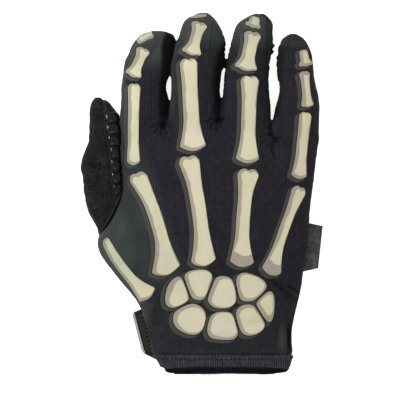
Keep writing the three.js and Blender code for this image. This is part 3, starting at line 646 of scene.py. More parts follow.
# %% The wrist's bones
# the eight bones of the wrist, thumb side first, and the field that they fill
WRIST_BONES = [
    (176, 291), (198, 283), (222, 292), (250, 286), (190, 318), (223, 326), (250, 318), (269, 306),
]
WRIST_FIELD, WRIST_POWER, WRIST_REACH, WRIST_ROUND = (219.5, 303.5, 56.0, 36.0, -4.0), 2.7, 11.5, 1.1


def wrist_bone(points, number):
    """Distance to one cell of the wrist's field, its corners a little rounded."""
    x, y, wide, high, turn = WRIST_FIELD
    centre, turn = np.array(from_photo(x, y)), math.radians(turn)
    local = points - centre
    local = np.stack([
        local[:, 0] * math.cos(turn) + local[:, 1] * math.sin(turn),
        local[:, 1] * math.cos(turn) - local[:, 0] * math.sin(turn),
    ], 1) / (PIXEL * np.array([wide, high]))
    field = ((np.abs(local) ** WRIST_POWER).sum(1) ** (1 / WRIST_POWER) - 1) * PIXEL * high
    own = np.array(from_photo(*WRIST_BONES[number]))
    walls = [field]
    for other, place in enumerate(WRIST_BONES):
        if other != number:
            place = np.array(from_photo(*place))
            way = (place - own) / np.hypot(*(place - own))
            walls.append((points - (own + place) / 2) @ way)
    walls.append((np.hypot(*(points - own).T) - WRIST_REACH) * 0.9)
    steep = np.clip(np.array(walls) * WRIST_ROUND, -40, 40)
    return np.log(np.exp(steep).sum(0)) / WRIST_ROUND + 0.65


print("wrist bones:", len(WRIST_BONES))


# %% How the print lies on the cloth
def over_the_side(points):
    """How far the cloth runs on past the palm's side: its way down the wall, added to x."""
    across, _, top, _ = in_palm(points)
    on_palm = ramp(CROTCH_Y - points[:, 1], 16)
    down = np.clip(0.8 * top - points[:, 2], 0, 20)
    return on_palm * np.sign(across) * ramp(np.abs(across)) ** 12 * down


DULL_BASE, DULL_FROM_X, DULL_FROM_Y = 0.11, 230, 255


def lit_side(bone):
    """The part of a bone that catches the light: the palm's two outer bones keep a dull base."""
    base, head, *widths = bone
    short = DULL_BASE if base[0] > DULL_FROM_X and base[1] > DULL_FROM_Y else 0
    return [tuple(b + short * (h - b) for b, h in zip(base, head)), head, *widths]


REACH = 6.0


def bone_distances(points, bones=LONG_BONES):
    """The distance to every bone, one row each, known within REACH millimetres."""
    rows = []
    for bone in bones:
        outline, radius = long_bone(*bone)
        near = ((points > outline.min(0) - REACH) & (points < outline.max(0) + REACH)).all(1)
        row = np.full(len(points), REACH)
        row[near] = distance_to_outline(points[near], outline) - radius
        rows.append(row)
    rows += [wrist_bone(points, number) for number in range(len(WRIST_BONES))]
    return np.array(rows)


print("each distance is known to", REACH, "mm")


# %% Storing the bones on the back
def add_attribute(piece, name, values):
    layer = piece.data.attributes.new(name, "FLOAT", "POINT")
    layer.data.foreach_set("value", values.astype(np.float32))


def vertex_places(piece):
    values = np.zeros(len(piece.data.vertices) * 3)
    piece.data.vertices.foreach_get("co", values)
    return values.reshape(-1, 3) / MM


back = glove["back_panel"]
points = vertex_places(back)
flat = points[:, :2] + over_the_side(points)[:, None] * (1, 0)
edge = bone_distances(flat)
x, y = flat.T
wave = 0.45 * np.sin(y * 0.33 + x * 0.21) + 0.3 * np.sin(y * 0.71 - x * 0.4)
lit_sides = [lit_side(bone) for bone in LONG_BONES]
# every other bone is lit from a slightly different side, as in a drawing by hand
light = np.array([
    bone_distances(flat + np.array(shift), lit_sides)[first::2].min(0)
    for first, shift in enumerate(((-0.9, -0.7), (-1.1, 0.5)))
]).min(0) + 1.35 + 0.5 * wave
add_attribute(back, "bone_edge", edge.min(0))
add_attribute(back, "bone_light", light)
add_attribute(back, "bone_shadow", bone_distances(flat + np.array((2.0, 1.3))).min(0) - 0.75)
print("bones:", len(edge), "inked points:", int((edge.min(0) < 0).sum()), "of", len(points))

# %% [markdown]
# ## Where the ribs and the painted light go
# Knit ribs run along the fingers. Over the edge of a finger they keep their distance from
# each other, so they can't follow one axis alone. The place across the cloth is stored:
# sideways on top, and downwards on the walls. Light and shade are painted on as well. A
# greenish grey painted sheen lies where light from the left falls, on fingertips, edges and
# the thumb's web, with a painted highlight at the wrist, and painted shade turns some walls,
# the crotches and a fold black.

# %% The ribs
def across_cloth(points):
    """How far a place lies from a finger's or the palm's middle, along the cloth."""
    x, y, z = points.T
    i = np.argmin(np.abs([x - ORIGIN_X - finger[1] for finger in FINGERS]), axis=0)
    result, share = np.zeros(len(points)), ramp(y - CROTCH_Y + 8, 16)
    for number, (name, _, _, thick, length) in enumerate(FINGERS):
        middle, half = finger_middle(number, y.clip(CROTCH_Y, TIP_Y)), finger_half(number, y)
        top = through(FINGER_SECTIONS[name], 3, ramp(y - CROTCH_Y, length)) * thick
        lean = np.clip((x - middle) / half * 1.2, -1, 1)
        result = np.where(i == number, lean * np.abs(lean) * np.clip(top - z, 0, 20), result)
    return x + result * share + over_the_side(points)


print("the ribs follow", len(FINGERS), "fingers and the palm's sides")

# %% The painted sheen
# how strongly painted sheen lies on a finger's left side and tip, and how far down from the tip it goes
SHEEN_ON_FINGERS = {"index": (0.9, 1, 28), "middle": (0.75, 1, 25), "ring": (0.1, 1, 25), "little": (0.1, 0.15, 20)}


def painted_sheen_of(points, normals):
    """Painted sheen: 1 where light from the left is painted in as a greenish grey, 0 where the cloth keeps
    its own colour.
    """
    x, y = points.T[:2]
    # painted sheen: walls that face the light on the left, and the fingertips, are painted paler and greener
    left = ramp(-normals[:, 0] - 0.4, 0.4) * ramp(y + 40, 20)
    painted_sheen = np.zeros(len(points))
    for number, (name, _, width, _, length) in enumerate(FINGERS):
        own = np.abs(x - finger_middle(number, y.clip(CROTCH_Y, TIP_Y))) < width * 0.6
        side, tip, reach = SHEEN_ON_FINGERS[name]
        past_tip = y - CROTCH_Y - length
        tip = tip * (ramp(past_tip + reach, 11) + 0.8 * ramp(past_tip + 9, 5))
        painted_sheen = np.where(own, np.maximum(left * side, tip), painted_sheen)
    # painted sheen on the thumb's web, the hand's left edge and the cuff, and shine, a painted highlight at
    # the wrist's right side
    web = ramp(1.1 - ((x + 56) / 19) ** 2 - ((y + 34) / 33) ** 2)
    edge = ramp(-34 - x - 0.35 * (y - 30), 12) * ramp(34 - y, 12) * ramp(y + 66, 12)
    left_of_cuff = 0.75 * ramp(-28 - x + 0.32 * (y + 70), 5) * ramp(-64 - y, 8)
    cuff = np.maximum(0.12 * ramp(-62 - y, 16) * (y > HEM_Y), left_of_cuff)
    shine = 1.1 * bell(x - 51.0, 2.7) * bell(y + 93, 8.5)
    return np.clip(np.maximum.reduce([painted_sheen, 1.4 * web, 0.6 * edge, cuff, shine]), 0, 1.8)


print("tinted:", ", ".join(SHEEN_ON_FINGERS))

# %% The painted shade on the walls
# finger, side, strength, softness, and the line where the painted shade on its wall begins: the photograph's
# pixels
SHADED_WALLS = [
    (0, 1, 0.97, 2.2, [
        (164.5, 30), (161.2, 40), (160, 46), (160.3, 58), (158.3, 85), (157, 100), (157.5, 130),
    ]),
    (1, 1, 0.94, 3.0, [
        (224, 36), (219.5, 46), (215, 54), (211.5, 68), (210.5, 85), (211, 100), (212.5, 124),
    ]),
    (2, 1, 0.93, 1.0, [(276, 34), (270.8, 42), (269.0, 60), (268.0, 78), (272.5, 95), (274, 130)]),
    (2, -1, 0.5, 3.0, [(228, 34), (231, 46), (231, 60), (229, 75), (228, 98), (226, 124)]),
    (3, -1, 0.55, 3.4, [(287, 46), (287, 56), (285, 75), (284, 100), (280, 128)]),
]
# where the cloth is bunched up between two fingers and painted shade lies: place and reach in the
# photograph's pixels
BUNCHED = [
    (163.0, 125.5, 3.4, 5.0), (218.5, 119.5, 5.4, 3.8), (270.0, 129.0, 2.6, 7.0),
    (273.5, 139.5, 3.8, 5.5),
]


def x_on(line, y, beyond=None):
    """Where a line that runs down the photograph lies at each y."""
    return np.interp(y, line[::-1, 1], line[::-1, 0], right=beyond)


def painted_shade_of(points):
    """Painted shade: 1 on the fingers' shaded walls, in the bunched crotches and in the fold at the wrist."""
    x, y, z = points.T
    # painted shade in the fold at the wrist's right side
    black = bell(x - 55.6, 1.0) * bell(y + 92, 9.5, 4) * (z > 6)
    ragged = 1 + 0.55 * bump_noise(points, 1.6, 31)
    for place_x, place_y, wide, high in BUNCHED:
        middle_x, middle_y = from_photo(place_x, place_y)
        away = np.hypot((x - middle_x) / wide, (y - middle_y) / high) / PIXEL * ragged
        black = np.maximum(black, 0.85 * ramp(1.15 - away, 0.5))
    middles = [finger_middle(number, y.clip(CROTCH_Y, TIP_Y)) for number in range(4)]
    for number, side, strength, soft, line in SHADED_WALLS:
        past = ramp(side * (x - x_on(line_from_photo(line), y)), soft)
        first, second = sorted((number, number + side))
        gap = (middles[first] + finger_half(first, y) + middles[second] - finger_half(second, y)) / 2
        own = (side * (x - middles[number]) > 0) & (side * (x - gap) < 0)
        black = np.maximum(black, strength * own * past * ramp(y - CROTCH_Y, 6))
    return black


print("black walls:", len(SHADED_WALLS), "bunched places:", len(BUNCHED))

# %% The fine seams and creases, and storing it all
# seams that show as a fine dark line on the back, and the last two, creases at the wrist whose dark line is
# painted shade: the photograph's pixels
SEAM_AND_CREASE_LINES = [
    [(212.6, 24), (210.3, 47), (209.8, 58)], [(266.4, 42), (266.8, 60), (266.2, 80)],
    [(152.5, 72), (151.4, 100), (152.4, 124)], [(279, 48.1), (308, 48.1)],
    [(270.5, 278), (284, 290.5), (297.5, 303)], [(286, 284.3), (299, 293)],
]


def seam_and_crease_distance(points):
    """The distance to the nearest of the fine seam and crease lines, at most 4 mm."""
    nearest = np.full(len(points), 4.0)
    for seam in map(line_from_photo, SEAM_AND_CREASE_LINES):
        for start, end in zip(seam, seam[1:]):
            nearest = np.minimum(nearest, distance_to_line(points[:, :2], start, end))
    return nearest


def tell_cloth(piece):
    points = vertex_places(piece)
    normals = np.zeros(points.size)
    piece.data.vertex_normals.foreach_get("vector", normals)
    add_attribute(piece, "rib", across_cloth(points))
    add_attribute(piece, "painted_sheen", painted_sheen_of(points, normals.reshape(-1, 3)))
    add_attribute(piece, "black", painted_shade_of(points))
    add_attribute(piece, "seam_and_crease_line", seam_and_crease_distance(points))


STRIPS = PANELS[2:5]
for name in ("back_panel", "cuff_hem", *STRIPS):
    tell_cloth(glove[name])
print("ribs and tints stored on the knit pieces")

# %% [markdown]
# ## Materials as arithmetic
# A material is a graph of nodes, and a graph is hard to read as code. Wrapped sockets are
# easier: they take part in sums, and each sum adds its Math node.

# %% The wrapped socket
class Wire:
    """An output of a shader node that takes part in Python's arithmetic."""

    def __init__(self, finish, socket):
        self.finish, self.socket = finish, socket

    def math(self, operation, *values):
        return self.finish.node("ShaderNodeMath", {"operation": operation}, values)

    def __add__(self, other):
        return self.math("ADD", self, other)

    def __sub__(self, other):
        return self.math("SUBTRACT", self, other)

    def __rsub__(self, other):
        return self.math("SUBTRACT", other, self)

    def __mul__(self, other):
        return self.math("MULTIPLY", self, other)

    __radd__, __rmul__ = __add__, __mul__

    def sine(self):
        return self.math("SINE", self)

    def below(self, edge, soft=0.1):
        """1 where the value lies below edge, 0 above it, and a ramp of 2 soft between."""
        ends = {"From Min": edge - soft, "From Max": edge + soft, "To Min": 1.0, "To Max": 0.0}
        return self.finish.node("ShaderNodeMapRange", {}, {"Value": self, **ends})


print("a wire takes part in sums:", [name for name in vars(Wire) if name.startswith("__r")])


# %% The finish that it belongs to
class Finish:
    """A material in the making: its shader, and the nodes that feed it."""

    def __init__(self, name, **constants):
        self.material = bpy.data.materials.new(name)
        self.material.use_nodes = True
        self.tree = self.material.node_tree
        self.shader = self.tree.nodes["Principled BSDF"]
        for socket, value in constants.items():
            self.shader.inputs[socket.replace("_", " ")].default_value = value

    def node(self, kind, settings=None, values=(), output=0):
        """A node of any type: its settings first, then the values or links of its sockets."""
        made = self.tree.nodes.new(kind)
        for key, value in (settings or {}).items():
            setattr(made, key, value)
        for key, value in values.items() if isinstance(values, dict) else enumerate(values):
            if isinstance(value, Wire):
                self.tree.links.new(value.socket, made.inputs[key])
            else:
                made.inputs[key].default_value = value
        return Wire(self, made.outputs[output])

    def feed(self, socket, wire):
        self.tree.links.new(wire.socket, self.shader.inputs[socket])

    def place(self):
        return self.node("ShaderNodeTexCoord", output="Object")

    def stored(self, name):
        return self.node("ShaderNodeAttribute", {"attribute_name": name}, output="Fac")

    def noise(self, size, detail=3.0):
        """Cloudy noise with features of about that many millimetres."""
        inputs = {"Vector": self.place(), "Scale": 1 / (size * MM), "Detail": detail}
        return self.node("ShaderNodeTexNoise", {}, inputs)

    def mix(self, share, first, second):
        """A colour between two others."""
        return self.node("ShaderNodeMix", {"data_type": "RGBA"}, {0: share, 6: first, 7: second}, 2)

    def relief(self, height, distance, strength=1.0):
        inputs = {"Height": height, "Distance": distance * MM, "Strength": strength}
        self.feed("Normal", self.node("ShaderNodeBump", {}, inputs))


def colour(code):
    """A colour as the shader wants it, from the six digits of an ordinary colour code."""
    parts = [int(code[i:i + 2], 16) / 255 for i in (0, 2, 4)]
    return (*[c / 12.92 if c < 0.04045 else ((c + 0.055) / 1.055) ** 2.4 for c in parts], 1)


DARK_KNIT, PALE_KNIT = "1b1a1f", "302d35"
print("the knit's own colour runs from", [round(c, 4) for c in colour(DARK_KNIT)[:3]])

# %% [markdown]
# ## Knit with ink on it
# The knit is a dull, almost black violet with fine ribs. The print lies on it in layers: an
# olive shadow, a dark line round each bone, a taupe side and a cream side. Ink lies on top of
# the ribs, so it is smoother, but the ribs still show through.

# %% Knit finishes
RIB = 1.5


def knit(name, printed, dark=DARK_KNIT, pale=PALE_KNIT):
    finish = Finish(name, Specular_IOR_Level=0.1, Sheen_Weight=0.03, Sheen_Roughness=0.4)
    rib, loops, cloud = finish.stored("rib"), finish.noise(0.7, 2), finish.noise(9, 3)
    ribs = ((rib * (2 * math.pi / RIB) + cloud * 2).sine() * 0.5 + 0.5) * (cloud * 1.1)
    worn = finish.noise(2.6, 2)
    own = finish.mix(ribs * 1.1 + loops * 1.1 + worn * 1.3 - 1.2, colour(dark), colour(pale))
    # painted sheen: a greenish grey that stands for light from the left on the knit
    sheen_grey = finish.mix(ribs * 0.3 + loops * 0.5 + cloud * 0.2, colour("2e3433"), colour("434945"))
    base = finish.mix(finish.stored("painted_sheen") * (cloud * 0.5 + 0.68), own, sheen_grey)
    # painted shade, near black, on the shaded walls, in the crotches and in the wrist's fold
    base = finish.mix(finish.stored("black"), base, colour("060507"))
    # dark seam lines; on the two creases at the wrist the dark line is painted shade
    groove = finish.stored("seam_and_crease_line").below(0.3, 0.3)
    base = finish.mix(groove * 0.6, base, colour("0d0c0f"))
    rough = ribs * 0.1 + 0.8
    height = ribs * 0.75 + loops * 0.4 - groove * 2
    if printed:
        shadow, edge, light = [finish.stored("bone_" + layer) for layer in ("shadow", "edge", "light")]
        grain = finish.noise(1.1, 2)
        # where the painted sheen lies, the ink is painted greyer and greener with it
        sheen_on_ink = finish.stored("painted_sheen") * 0.45
        olive = finish.mix(grain * 0.6 + ribs * 0.25, colour("3c3d38"), colour("4e4f48"))
        taupe = finish.mix(grain * 0.7, colour("9c9385"), colour("b0a798"))
        taupe = finish.mix(sheen_on_ink, taupe, colour("848477"))
        rosy = light.below(-2.0, 1.6) * 0.55 + finish.noise(24, 1) * 1.6 - 0.55
        cream = finish.mix(rosy, colour("d2cfa7"), colour("d9cfba"))
        cream = finish.mix(ribs * 0.12 + grain * 0.12, cream, colour("b4af90"))
        cream = finish.mix(sheen_on_ink, cream, colour("a9ad97"))
        base = finish.mix(shadow.below(0, 0.12), base, olive)
        base = finish.mix(edge.below(0.45, 0.12), base, colour("191914"))
        base = finish.mix(edge.below(0, 0.12), base, taupe)
        base = finish.mix(light.below(0, 0.15) * edge.below(-0.25, 0.1), base, cream)
        ink = edge.below(0, 0.12)
        rough = rough - ink * 0.18
        height = height * (1 - ink * 0.45) + ink * 0.5
    finish.feed("Base Color", base)
    finish.feed("Roughness", rough)
    finish.relief(height, 0.14, 0.8)
    return finish.material


printed_knit, plain_knit = knit("printed knit", True), knit("plain knit", False)
hem_knit = knit("hem knit", False, "27252a", "4b464c")

# %% [markdown]
# ## Suede, leather, lining
# Suede is a nap: short fibres that lie one way or the other, so it is mottled and has no
# gloss. The palm is a smoother synthetic leather with a fine grain of small cells.

# %% Suede, leather and lining finishes
def suede(name, dark, pale, second="161017"):
    finish = Finish(name, Specular_IOR_Level=0.08, Sheen_Weight=0.03, Sheen_Roughness=0.5)
    nap, patches, places = finish.noise(1.6, 4), finish.noise(6.5, 3), finish.noise(21, 2)
    mottled = nap * 2.2 + patches * 1.6 - 1.45
    base = finish.mix(mottled, colour(dark), colour(pale))
    finish.feed("Base Color", finish.mix(places * 2.4 - 0.95, base, colour(second)))
    finish.feed("Roughness", nap * 0.15 + 0.83)
    finish.relief(nap + finish.noise(0.5, 2) * 0.5, 0.22, 0.8)
    return finish.material


LEATHER_CELL = 0.9


def leather(name, dark, pale):
    finish = Finish(name, Specular_IOR_Level=0.25)
    inputs = {"Vector": finish.place(), "Scale": 1 / (LEATHER_CELL * MM)}
    cells = finish.node("ShaderNodeTexVoronoi", {"feature": "DISTANCE_TO_EDGE"}, inputs, "Distance")
    grain, cloud = cells.below(0.12, 0.1), finish.noise(7, 3)
    finish.feed("Base Color", finish.mix(cloud * 0.8 + grain * 0.3, colour(dark), colour(pale)))
    finish.feed("Roughness", cloud * 0.2 + grain * 0.1 + 0.5)
    finish.relief(1 - grain + cloud * 0.3, 0.12, 0.7)
    return finish.material


nap_suede = suede("napped suede", "080708", "2d2d2c", "1c171c")
cap_suede = suede("tip suede", "161615", "40413c", "2b2b29")
palm_leather = leather("palm leather", "0f0f11", "222225")
pad_leather = leather("pad leather", "070708", "151516")
lining = suede("lining", "1a121a", "32253a")
print("finishes so far:", sorted(material.name for material in bpy.data.materials))

# %% [markdown]
# ## The thumb
# The thumb is a tube of its own that comes out of the palm's side. Its back is suede, its pad
# leather, and the seam between them runs up the middle of what shows. It is rolled from its
# own sections, opened where it would be inside the hand, and cut along its seam. The open rim
# follows the grid's squares in small steps, so it is evened out along itself first.

# %% The thumb's lines
THUMB_SEAM = line_from_photo([
    (103, 60), (103, 101), (105, 131), (109.2, 150), (110.8, 178), (113.5, 197), (117, 215), (117, 260),
])
THUMB_JOIN = line_from_photo([
    (122.5, 187.0), (119.5, 195.5), (113.4, 209.5), (107.2, 221.5), (101.5, 230.0),
])


def depth_in_palm(points):
    """How deep places lie inside the palm's form: above 0 inside."""
    across, half, top, sole = in_palm(points)
    up = (points[:, 2] - (top + sole) / 2) / ((top - sole) / 2)
    return (1 - (np.abs(across) ** 2.5 + np.abs(up) ** 2.5) ** 0.4) * half


def past_join(places):
    """How far places lie on the hand's side of the line where the thumb is sewn on."""
    return np.clip((places[:, 0] - x_on(THUMB_JOIN, places[:, 1], beyond=99)) * 0.8, 0, None)


print("the thumb's join runs from", THUMB_JOIN[0].round(1), "to", THUMB_JOIN[-1].round(1), "mm")

# %% The thumb's skin
# how far the thumb's cloth goes past the join, on its top and on its sole
TOP_PAST, SOLE_PAST, SOLE_FROM_Y = 2.4, 5.5, -34
thumb = rolled(thumb_sections, 60, 130)
places, normals = places_of(thumb), normals_of(thumb)
swell = 0.4 * bump_noise(places, 14, 21) + 0.24 * bump_noise(places, 5, 4)
crease = 0.12 * np.sin(places[:, 1] * 0.9 + 2 * bump_noise(places, 8, 1)) * ramp(-normals[:, 0])
places += normals * (swell + crease)[:, None]
places[:, 2] -= np.clip(2.2 * past_join(places), 0, 11) * ramp(normals[:, 2] + 0.6)
places[:, 2] = np.maximum(places[:, 2], 0.03)
put(thumb, places)
middle = centres(thumb)
sole = (np.array([face.normal.z for face in thumb.faces]) < -0.1) & (middle[:, 1] > SOLE_FROM_Y)
inside = (depth_in_palm(middle) > 2.2) | (past_join(middle) > np.where(sole, SOLE_PAST, TOP_PAST))
thumb.faces.ensure_lookup_table()
bmesh.ops.delete(thumb, geom=[thumb.faces[i] for i in np.flatnonzero(inside)], context="FACES")
for _ in range(14):
    rim = {}
    for vert in thumb.verts:
        beside = [edge.other_vert(vert).co for edge in vert.link_edges if edge.is_boundary]
        if beside:
            rim[vert] = (vert.co + sum(beside, Vector()) / len(beside)) / 2
    for vert, place in rim.items():
        vert.co = place
thumb.normal_update()
for start, end in zip(THUMB_SEAM, THUMB_SEAM[1:]):
    y = centres(thumb)[:, 1]
    way = (end[1] - start[1], start[0] - end[0], 0)
    cut(thumb, (y < start[1] + 0.6) & (y > end[1] - 0.6), (*start, 0), way)
middle = centres(thumb)
half = (middle[:, 0] > x_on(THUMB_SEAM, middle[:, 1])).astype(int)
sew(thumb, half, 0.5)
for number, name in enumerate(("thumb_back", "thumb_pad")):
    glove[name] = panel_piece(thumb, half, number, "cloth_" + name)
    give_wall(glove[name], WALL)
thumb.free()
print("thumb:", len(glove["thumb_back"].data.polygons), "and", len(glove["thumb_pad"].data.polygons), "faces")

# %% [markdown]
# The seam between thumb and hand is covered by a narrow black binding. A round cord along a
# curve is the plainest way to make it: the curve's points are found by rays from above, so
# it lies in the valley between the two skins, and then it becomes a mesh.

# %% The binding along the thumb's seam
def height_of(grounds, x, y):
    """The highest cloth at a place, in millimetres."""
    hits = [ground.ray_cast(Vector((x, y, 60)) * MM, Vector((0, 0, -1)))[0] for ground in grounds]
    return max([hit.z / MM for hit in hits if hit] or [0])


def round_cord(points, radius, name):
    """A round cord with closed ends along a smooth curve through the points."""
    curve = bpy.data.curves.new(name, "CURVE")
    curve.dimensions, curve.bevel_depth, curve.use_fill_caps = "3D", radius * MM, True
    curve.bevel_resolution, curve.resolution_u = 3, 6
    line = curve.splines.new("NURBS")
    line.points.add(len(points) - 1)
    for point, place in zip(line.points, points):
        point.co = (*(Vector(place) * MM), 1)
    line.use_endpoint_u, line.order_u = True, 3
    holder = bpy.data.objects.new(name + "_curve", curve)
    bpy.context.scene.collection.objects.link(holder)
    found = holder.evaluated_get(bpy.context.evaluated_depsgraph_get())
    mesh = bmesh.new()
    mesh.from_mesh(found.to_mesh())
    bpy.data.objects.remove(holder)
    bmesh.ops.remove_doubles(mesh, verts=mesh.verts, dist=1e-6)
    return smooth_object(mesh, name)


depsgraph = bpy.context.evaluated_depsgraph_get()
grounds = [
    BVHTree.FromObject(glove[name], depsgraph)
    for name in ("back_panel", "palm_panel", "thumb_back", "thumb_pad")
]
join_y = np.linspace(THUMB_JOIN[0, 1], THUMB_JOIN[-1, 1], 15)
lying = [(x + 0.5, y, height_of(grounds, x, y) - 0.1) for x, y in zip(x_on(THUMB_JOIN, join_y), join_y)]
binding = round_cord(lying, 0.85, "thumb_binding")
print("binding:", len(binding.data.polygons), "faces")

# %% [markdown]
# ## Rubber tread
# Seven bars of moulded rubber give the thumb its grip. Each is a small grid laid on the
# thumb's surface and extruded outwards, with its rim drawn in so that it looks cast.

# %% The tread bars
TREADS, TREAD_GAP, TREAD_HIGH = 7, 1.3, 1.2
TREAD_PITCH = (0.515 * THUMB_LENGTH + TREAD_GAP) / TREADS
TREAD_TOP_Y = THUMB_FOOT_Y + 0.905 * THUMB_LENGTH


def raise_faces(mesh, high):
    """Extrudes all faces straight up."""
    made = bmesh.ops.extrude_face_region(mesh, geom=mesh.faces[:])["geom"]
    corners = [item for item in made if isinstance(item, bmesh.types.BMVert)]
    bmesh.ops.translate(mesh, verts=corners, vec=(0, 0, high))


def on_thumb(x_share, y, out):
    """A place on the thumb, from the seam to its right edge, that far outside the cloth."""
    along = ((y - THUMB_FOOT_Y) / THUMB_LENGTH - THUMB_START) / (1 - THUMB_START)
    left, right, top, sole = thumb_sections(1 - (1 - along) ** (1 / THUMB_CROWDING))[:4]
    half, middle = (right - left) / 2 + out, (left + right) / 2
    first = (x_on(THUMB_SEAM, y) + 0.8 - middle) / half
    wide = first + (0.985 - first) * x_share
    high = (1 - np.abs(wide) ** UPPER_POWER) ** (1 / UPPER_POWER)
    return np.stack([middle + wide * half, y, (top + sole) / 2 + high * ((top - sole) / 2 + out)], 1)


for number in range(TREADS):
    high = TREAD_TOP_Y - number * TREAD_PITCH
    low = high - TREAD_PITCH + TREAD_GAP
    bar = bmesh.new()
    bmesh.ops.create_grid(bar, x_segments=26, y_segments=12, size=1)
    raise_faces(bar, 1)
    block = np.array([vert.co for vert in bar.verts])
    up, edge = block[:, 2], np.abs(block[:, :2]) > 0.99
    across, along = (block[:, :2] * (1 - 0.09 * edge * up[:, None])).T
    y = (low + high) / 2 + along * (high - low) / 2 + 0.5 * np.sin(2.4 * across + number)
    sloping_end = ramp(-0.66 - across, 0.34)
    crown = TREAD_HIGH * (1 - 0.5 * np.abs(along) ** 2.5 - 0.2 * np.abs(across) ** 5 - 0.6 * sloping_end)
    put(bar, on_thumb((across + 1) / 2, y, np.where(up > 0.5, crown, 0.05)))
    glove[f"thumb_tread_{number + 1}"] = smooth_object(bar, f"tread_bar_{number + 1}")
print("tread bars:", TREADS, "pitch", round(TREAD_PITCH, 2), "mm")

# %% [markdown]
# ## Strap and pull tab
# The closure strap passes under the wrist, and only its rubber end looks out beside it. Both
# are flat. The tab is an outline whose corners are bevelled, extruded, and inset so that a
# rim stands round a field of plain ribs.

# %% The pull tab
STRAP_TURN, STRAP_WIDTH, STRAP_THICK = math.radians(14.5), 32.0, 2.0
STRAP_FROM, STRAP_TO, TAB_LENGTH, TAB_REACH = (-41.95, -89.92), 95.0, 18.0, 7.8
TAB_THICK, TAB_RIBS, TAB_RIB_PITCH, TAB_JOIN = 2.3, 9, 2.6, 0.3
TAB_OUTLINE = [
    (0, -13), (0, 13.4), (TAB_REACH, 14.6), (TAB_LENGTH, 15), (TAB_LENGTH, -16), (11, -18.2), (6.2, -18.2),
]


def along_strap(mesh):
    """Takes a mesh from the strap's own directions to its place under the wrist."""
    turn = Matrix.Rotation(STRAP_TURN, 4, "Z")
    move = Matrix.Translation(Vector((*STRAP_FROM, 0)) * MM)
    bmesh.ops.transform(mesh, matrix=move @ turn @ Matrix.Scale(MM, 4), verts=mesh.verts)


def corners_of(mesh, reach):
    """The edges that turn by more than that many degrees."""
    folded = [edge for edge in mesh.edges if len(edge.link_faces) == 2]
    return [edge for edge in folded if edge.calc_face_angle() > math.radians(reach)]


def bevel(mesh, parts, offset, segments, affect="EDGES"):
    bmesh.ops.bevel(
        mesh, geom=parts, offset=offset, segments=segments, profile=0.5, affect=affect, material=-1
    )


tab = bmesh.new()
for place in TAB_OUTLINE:
    tab.verts.new((*place, 0))
bmesh.ops.contextual_create(tab, geom=tab.verts[:])
bevel(tab, [vert for vert in tab.verts if vert.co.x < 1], 2.1, 5, "VERTICES")
raise_faces(tab, TAB_THICK)
bmesh.ops.recalc_face_normals(tab, faces=tab.faces)
top = max(tab.faces, key=lambda face: face.calc_center_median().z)
bmesh.ops.inset_region(tab, faces=[top], thickness=1.7)
bmesh.ops.inset_region(tab, faces=[top], thickness=0.35, depth=-0.7)
bevel(tab, corners_of(tab, 50), 0.22, 2)
# the rim's outer end takes a pale finish, a painted highlight where the edge catches the light
for face in tab.faces:
    middle = face.calc_center_median()
    face.material_index = int(middle.z > 2.0 and face.normal.z > 0.2 and middle.x < 1.6)
for number in range(TAB_RIBS):
    made = bmesh.ops.create_cube(tab, size=1)["verts"]
    bmesh.ops.scale(tab, vec=(3.8, 1.3, 1.0), verts=made)
    bmesh.ops.rotate(tab, verts=made, matrix=Matrix.Rotation(0.42, 3, "Z"))
    bmesh.ops.translate(tab, vec=(6.7, -10.6 + TAB_RIB_PITCH * number, 1.7), verts=made)
    bevel(tab, list({edge for vert in made for edge in vert.link_edges}), 0.3, 2)
along_strap(tab)
glove["pull_tab"] = as_object(tab, "pull_tab_rubber")

print("the tab has", len(glove["pull_tab"].data.polygons), "faces")

# %% The strap
strap = bmesh.new()
made = bmesh.ops.create_cube(strap, size=1)["verts"]
bmesh.ops.scale(strap, vec=(STRAP_TO - TAB_LENGTH - TAB_JOIN, STRAP_WIDTH, STRAP_THICK), verts=made)
bmesh.ops.translate(strap, vec=((STRAP_TO + TAB_LENGTH + TAB_JOIN) / 2, 0, STRAP_THICK / 2), verts=made)
bevel(strap, strap.edges[:], 0.6, 3)
along_strap(strap)
glove["closure_strap"] = as_object(strap, "strap_webbing")
print("the strap has", len(glove["closure_strap"].data.polygons), "faces")

# %% [markdown]
# ## The folded label
# A short woven tape is folded in two and caught in the side seam. A grid is bent round the
# fold: its rows run along the seam, its columns from one end of the tape round to the other.

# %% The label
inner_top, outer_top, outer_low, inner_low = line_from_photo([
    (304.5, 222.2), (322.3, 225.8), (317.7, 268.1), (298.5, 272.6),
])
label = bmesh.new()
bmesh.ops.create_grid(label, x_segments=40, y_segments=36, size=1)
ground = np.array([vert.co for vert in label.verts])
FOLD_RADIUS, TAPE_REACH, TAPE_HIGH, TAPE_THICK = 1.0, 12.5, 11.0, 0.55
run = np.abs(ground[:, 0]) * TAPE_REACH
turned = np.clip(run / FOLD_RADIUS, 0, math.pi / 2)
straight = np.maximum(0, run - FOLD_RADIUS * math.pi / 2)
out = 1 - (FOLD_RADIUS * (1 - np.cos(turned)) + straight) / TAPE_REACH
share = (ground[:, 1] + 1) / 2
near = inner_low + share[:, None] * (inner_top - inner_low)
far = outer_low + share[:, None] * (outer_top - outer_low)
place = near + out[:, None] * (far - near)
wave = 0.45 * np.sin(share * 5.2 + 0.6) * out + 0.25 * np.sin(share * 11 + 2) * out
z = TAPE_HIGH + np.sign(ground[:, 0]) * FOLD_RADIUS * np.sin(turned) * (0.75 + 0.25 * out) + wave
put(label, np.concatenate([place, z[:, None]], 1))
glove["side_label"] = smooth_object(label, "label_tape")
tape_wall = glove["side_label"].modifiers.new("wall", "SOLIDIFY")
tape_wall.thickness, tape_wall.offset = TAPE_THICK * MM, 0
print("label reaches", round(float(place[:, 0].max()), 1), "mm to the side")

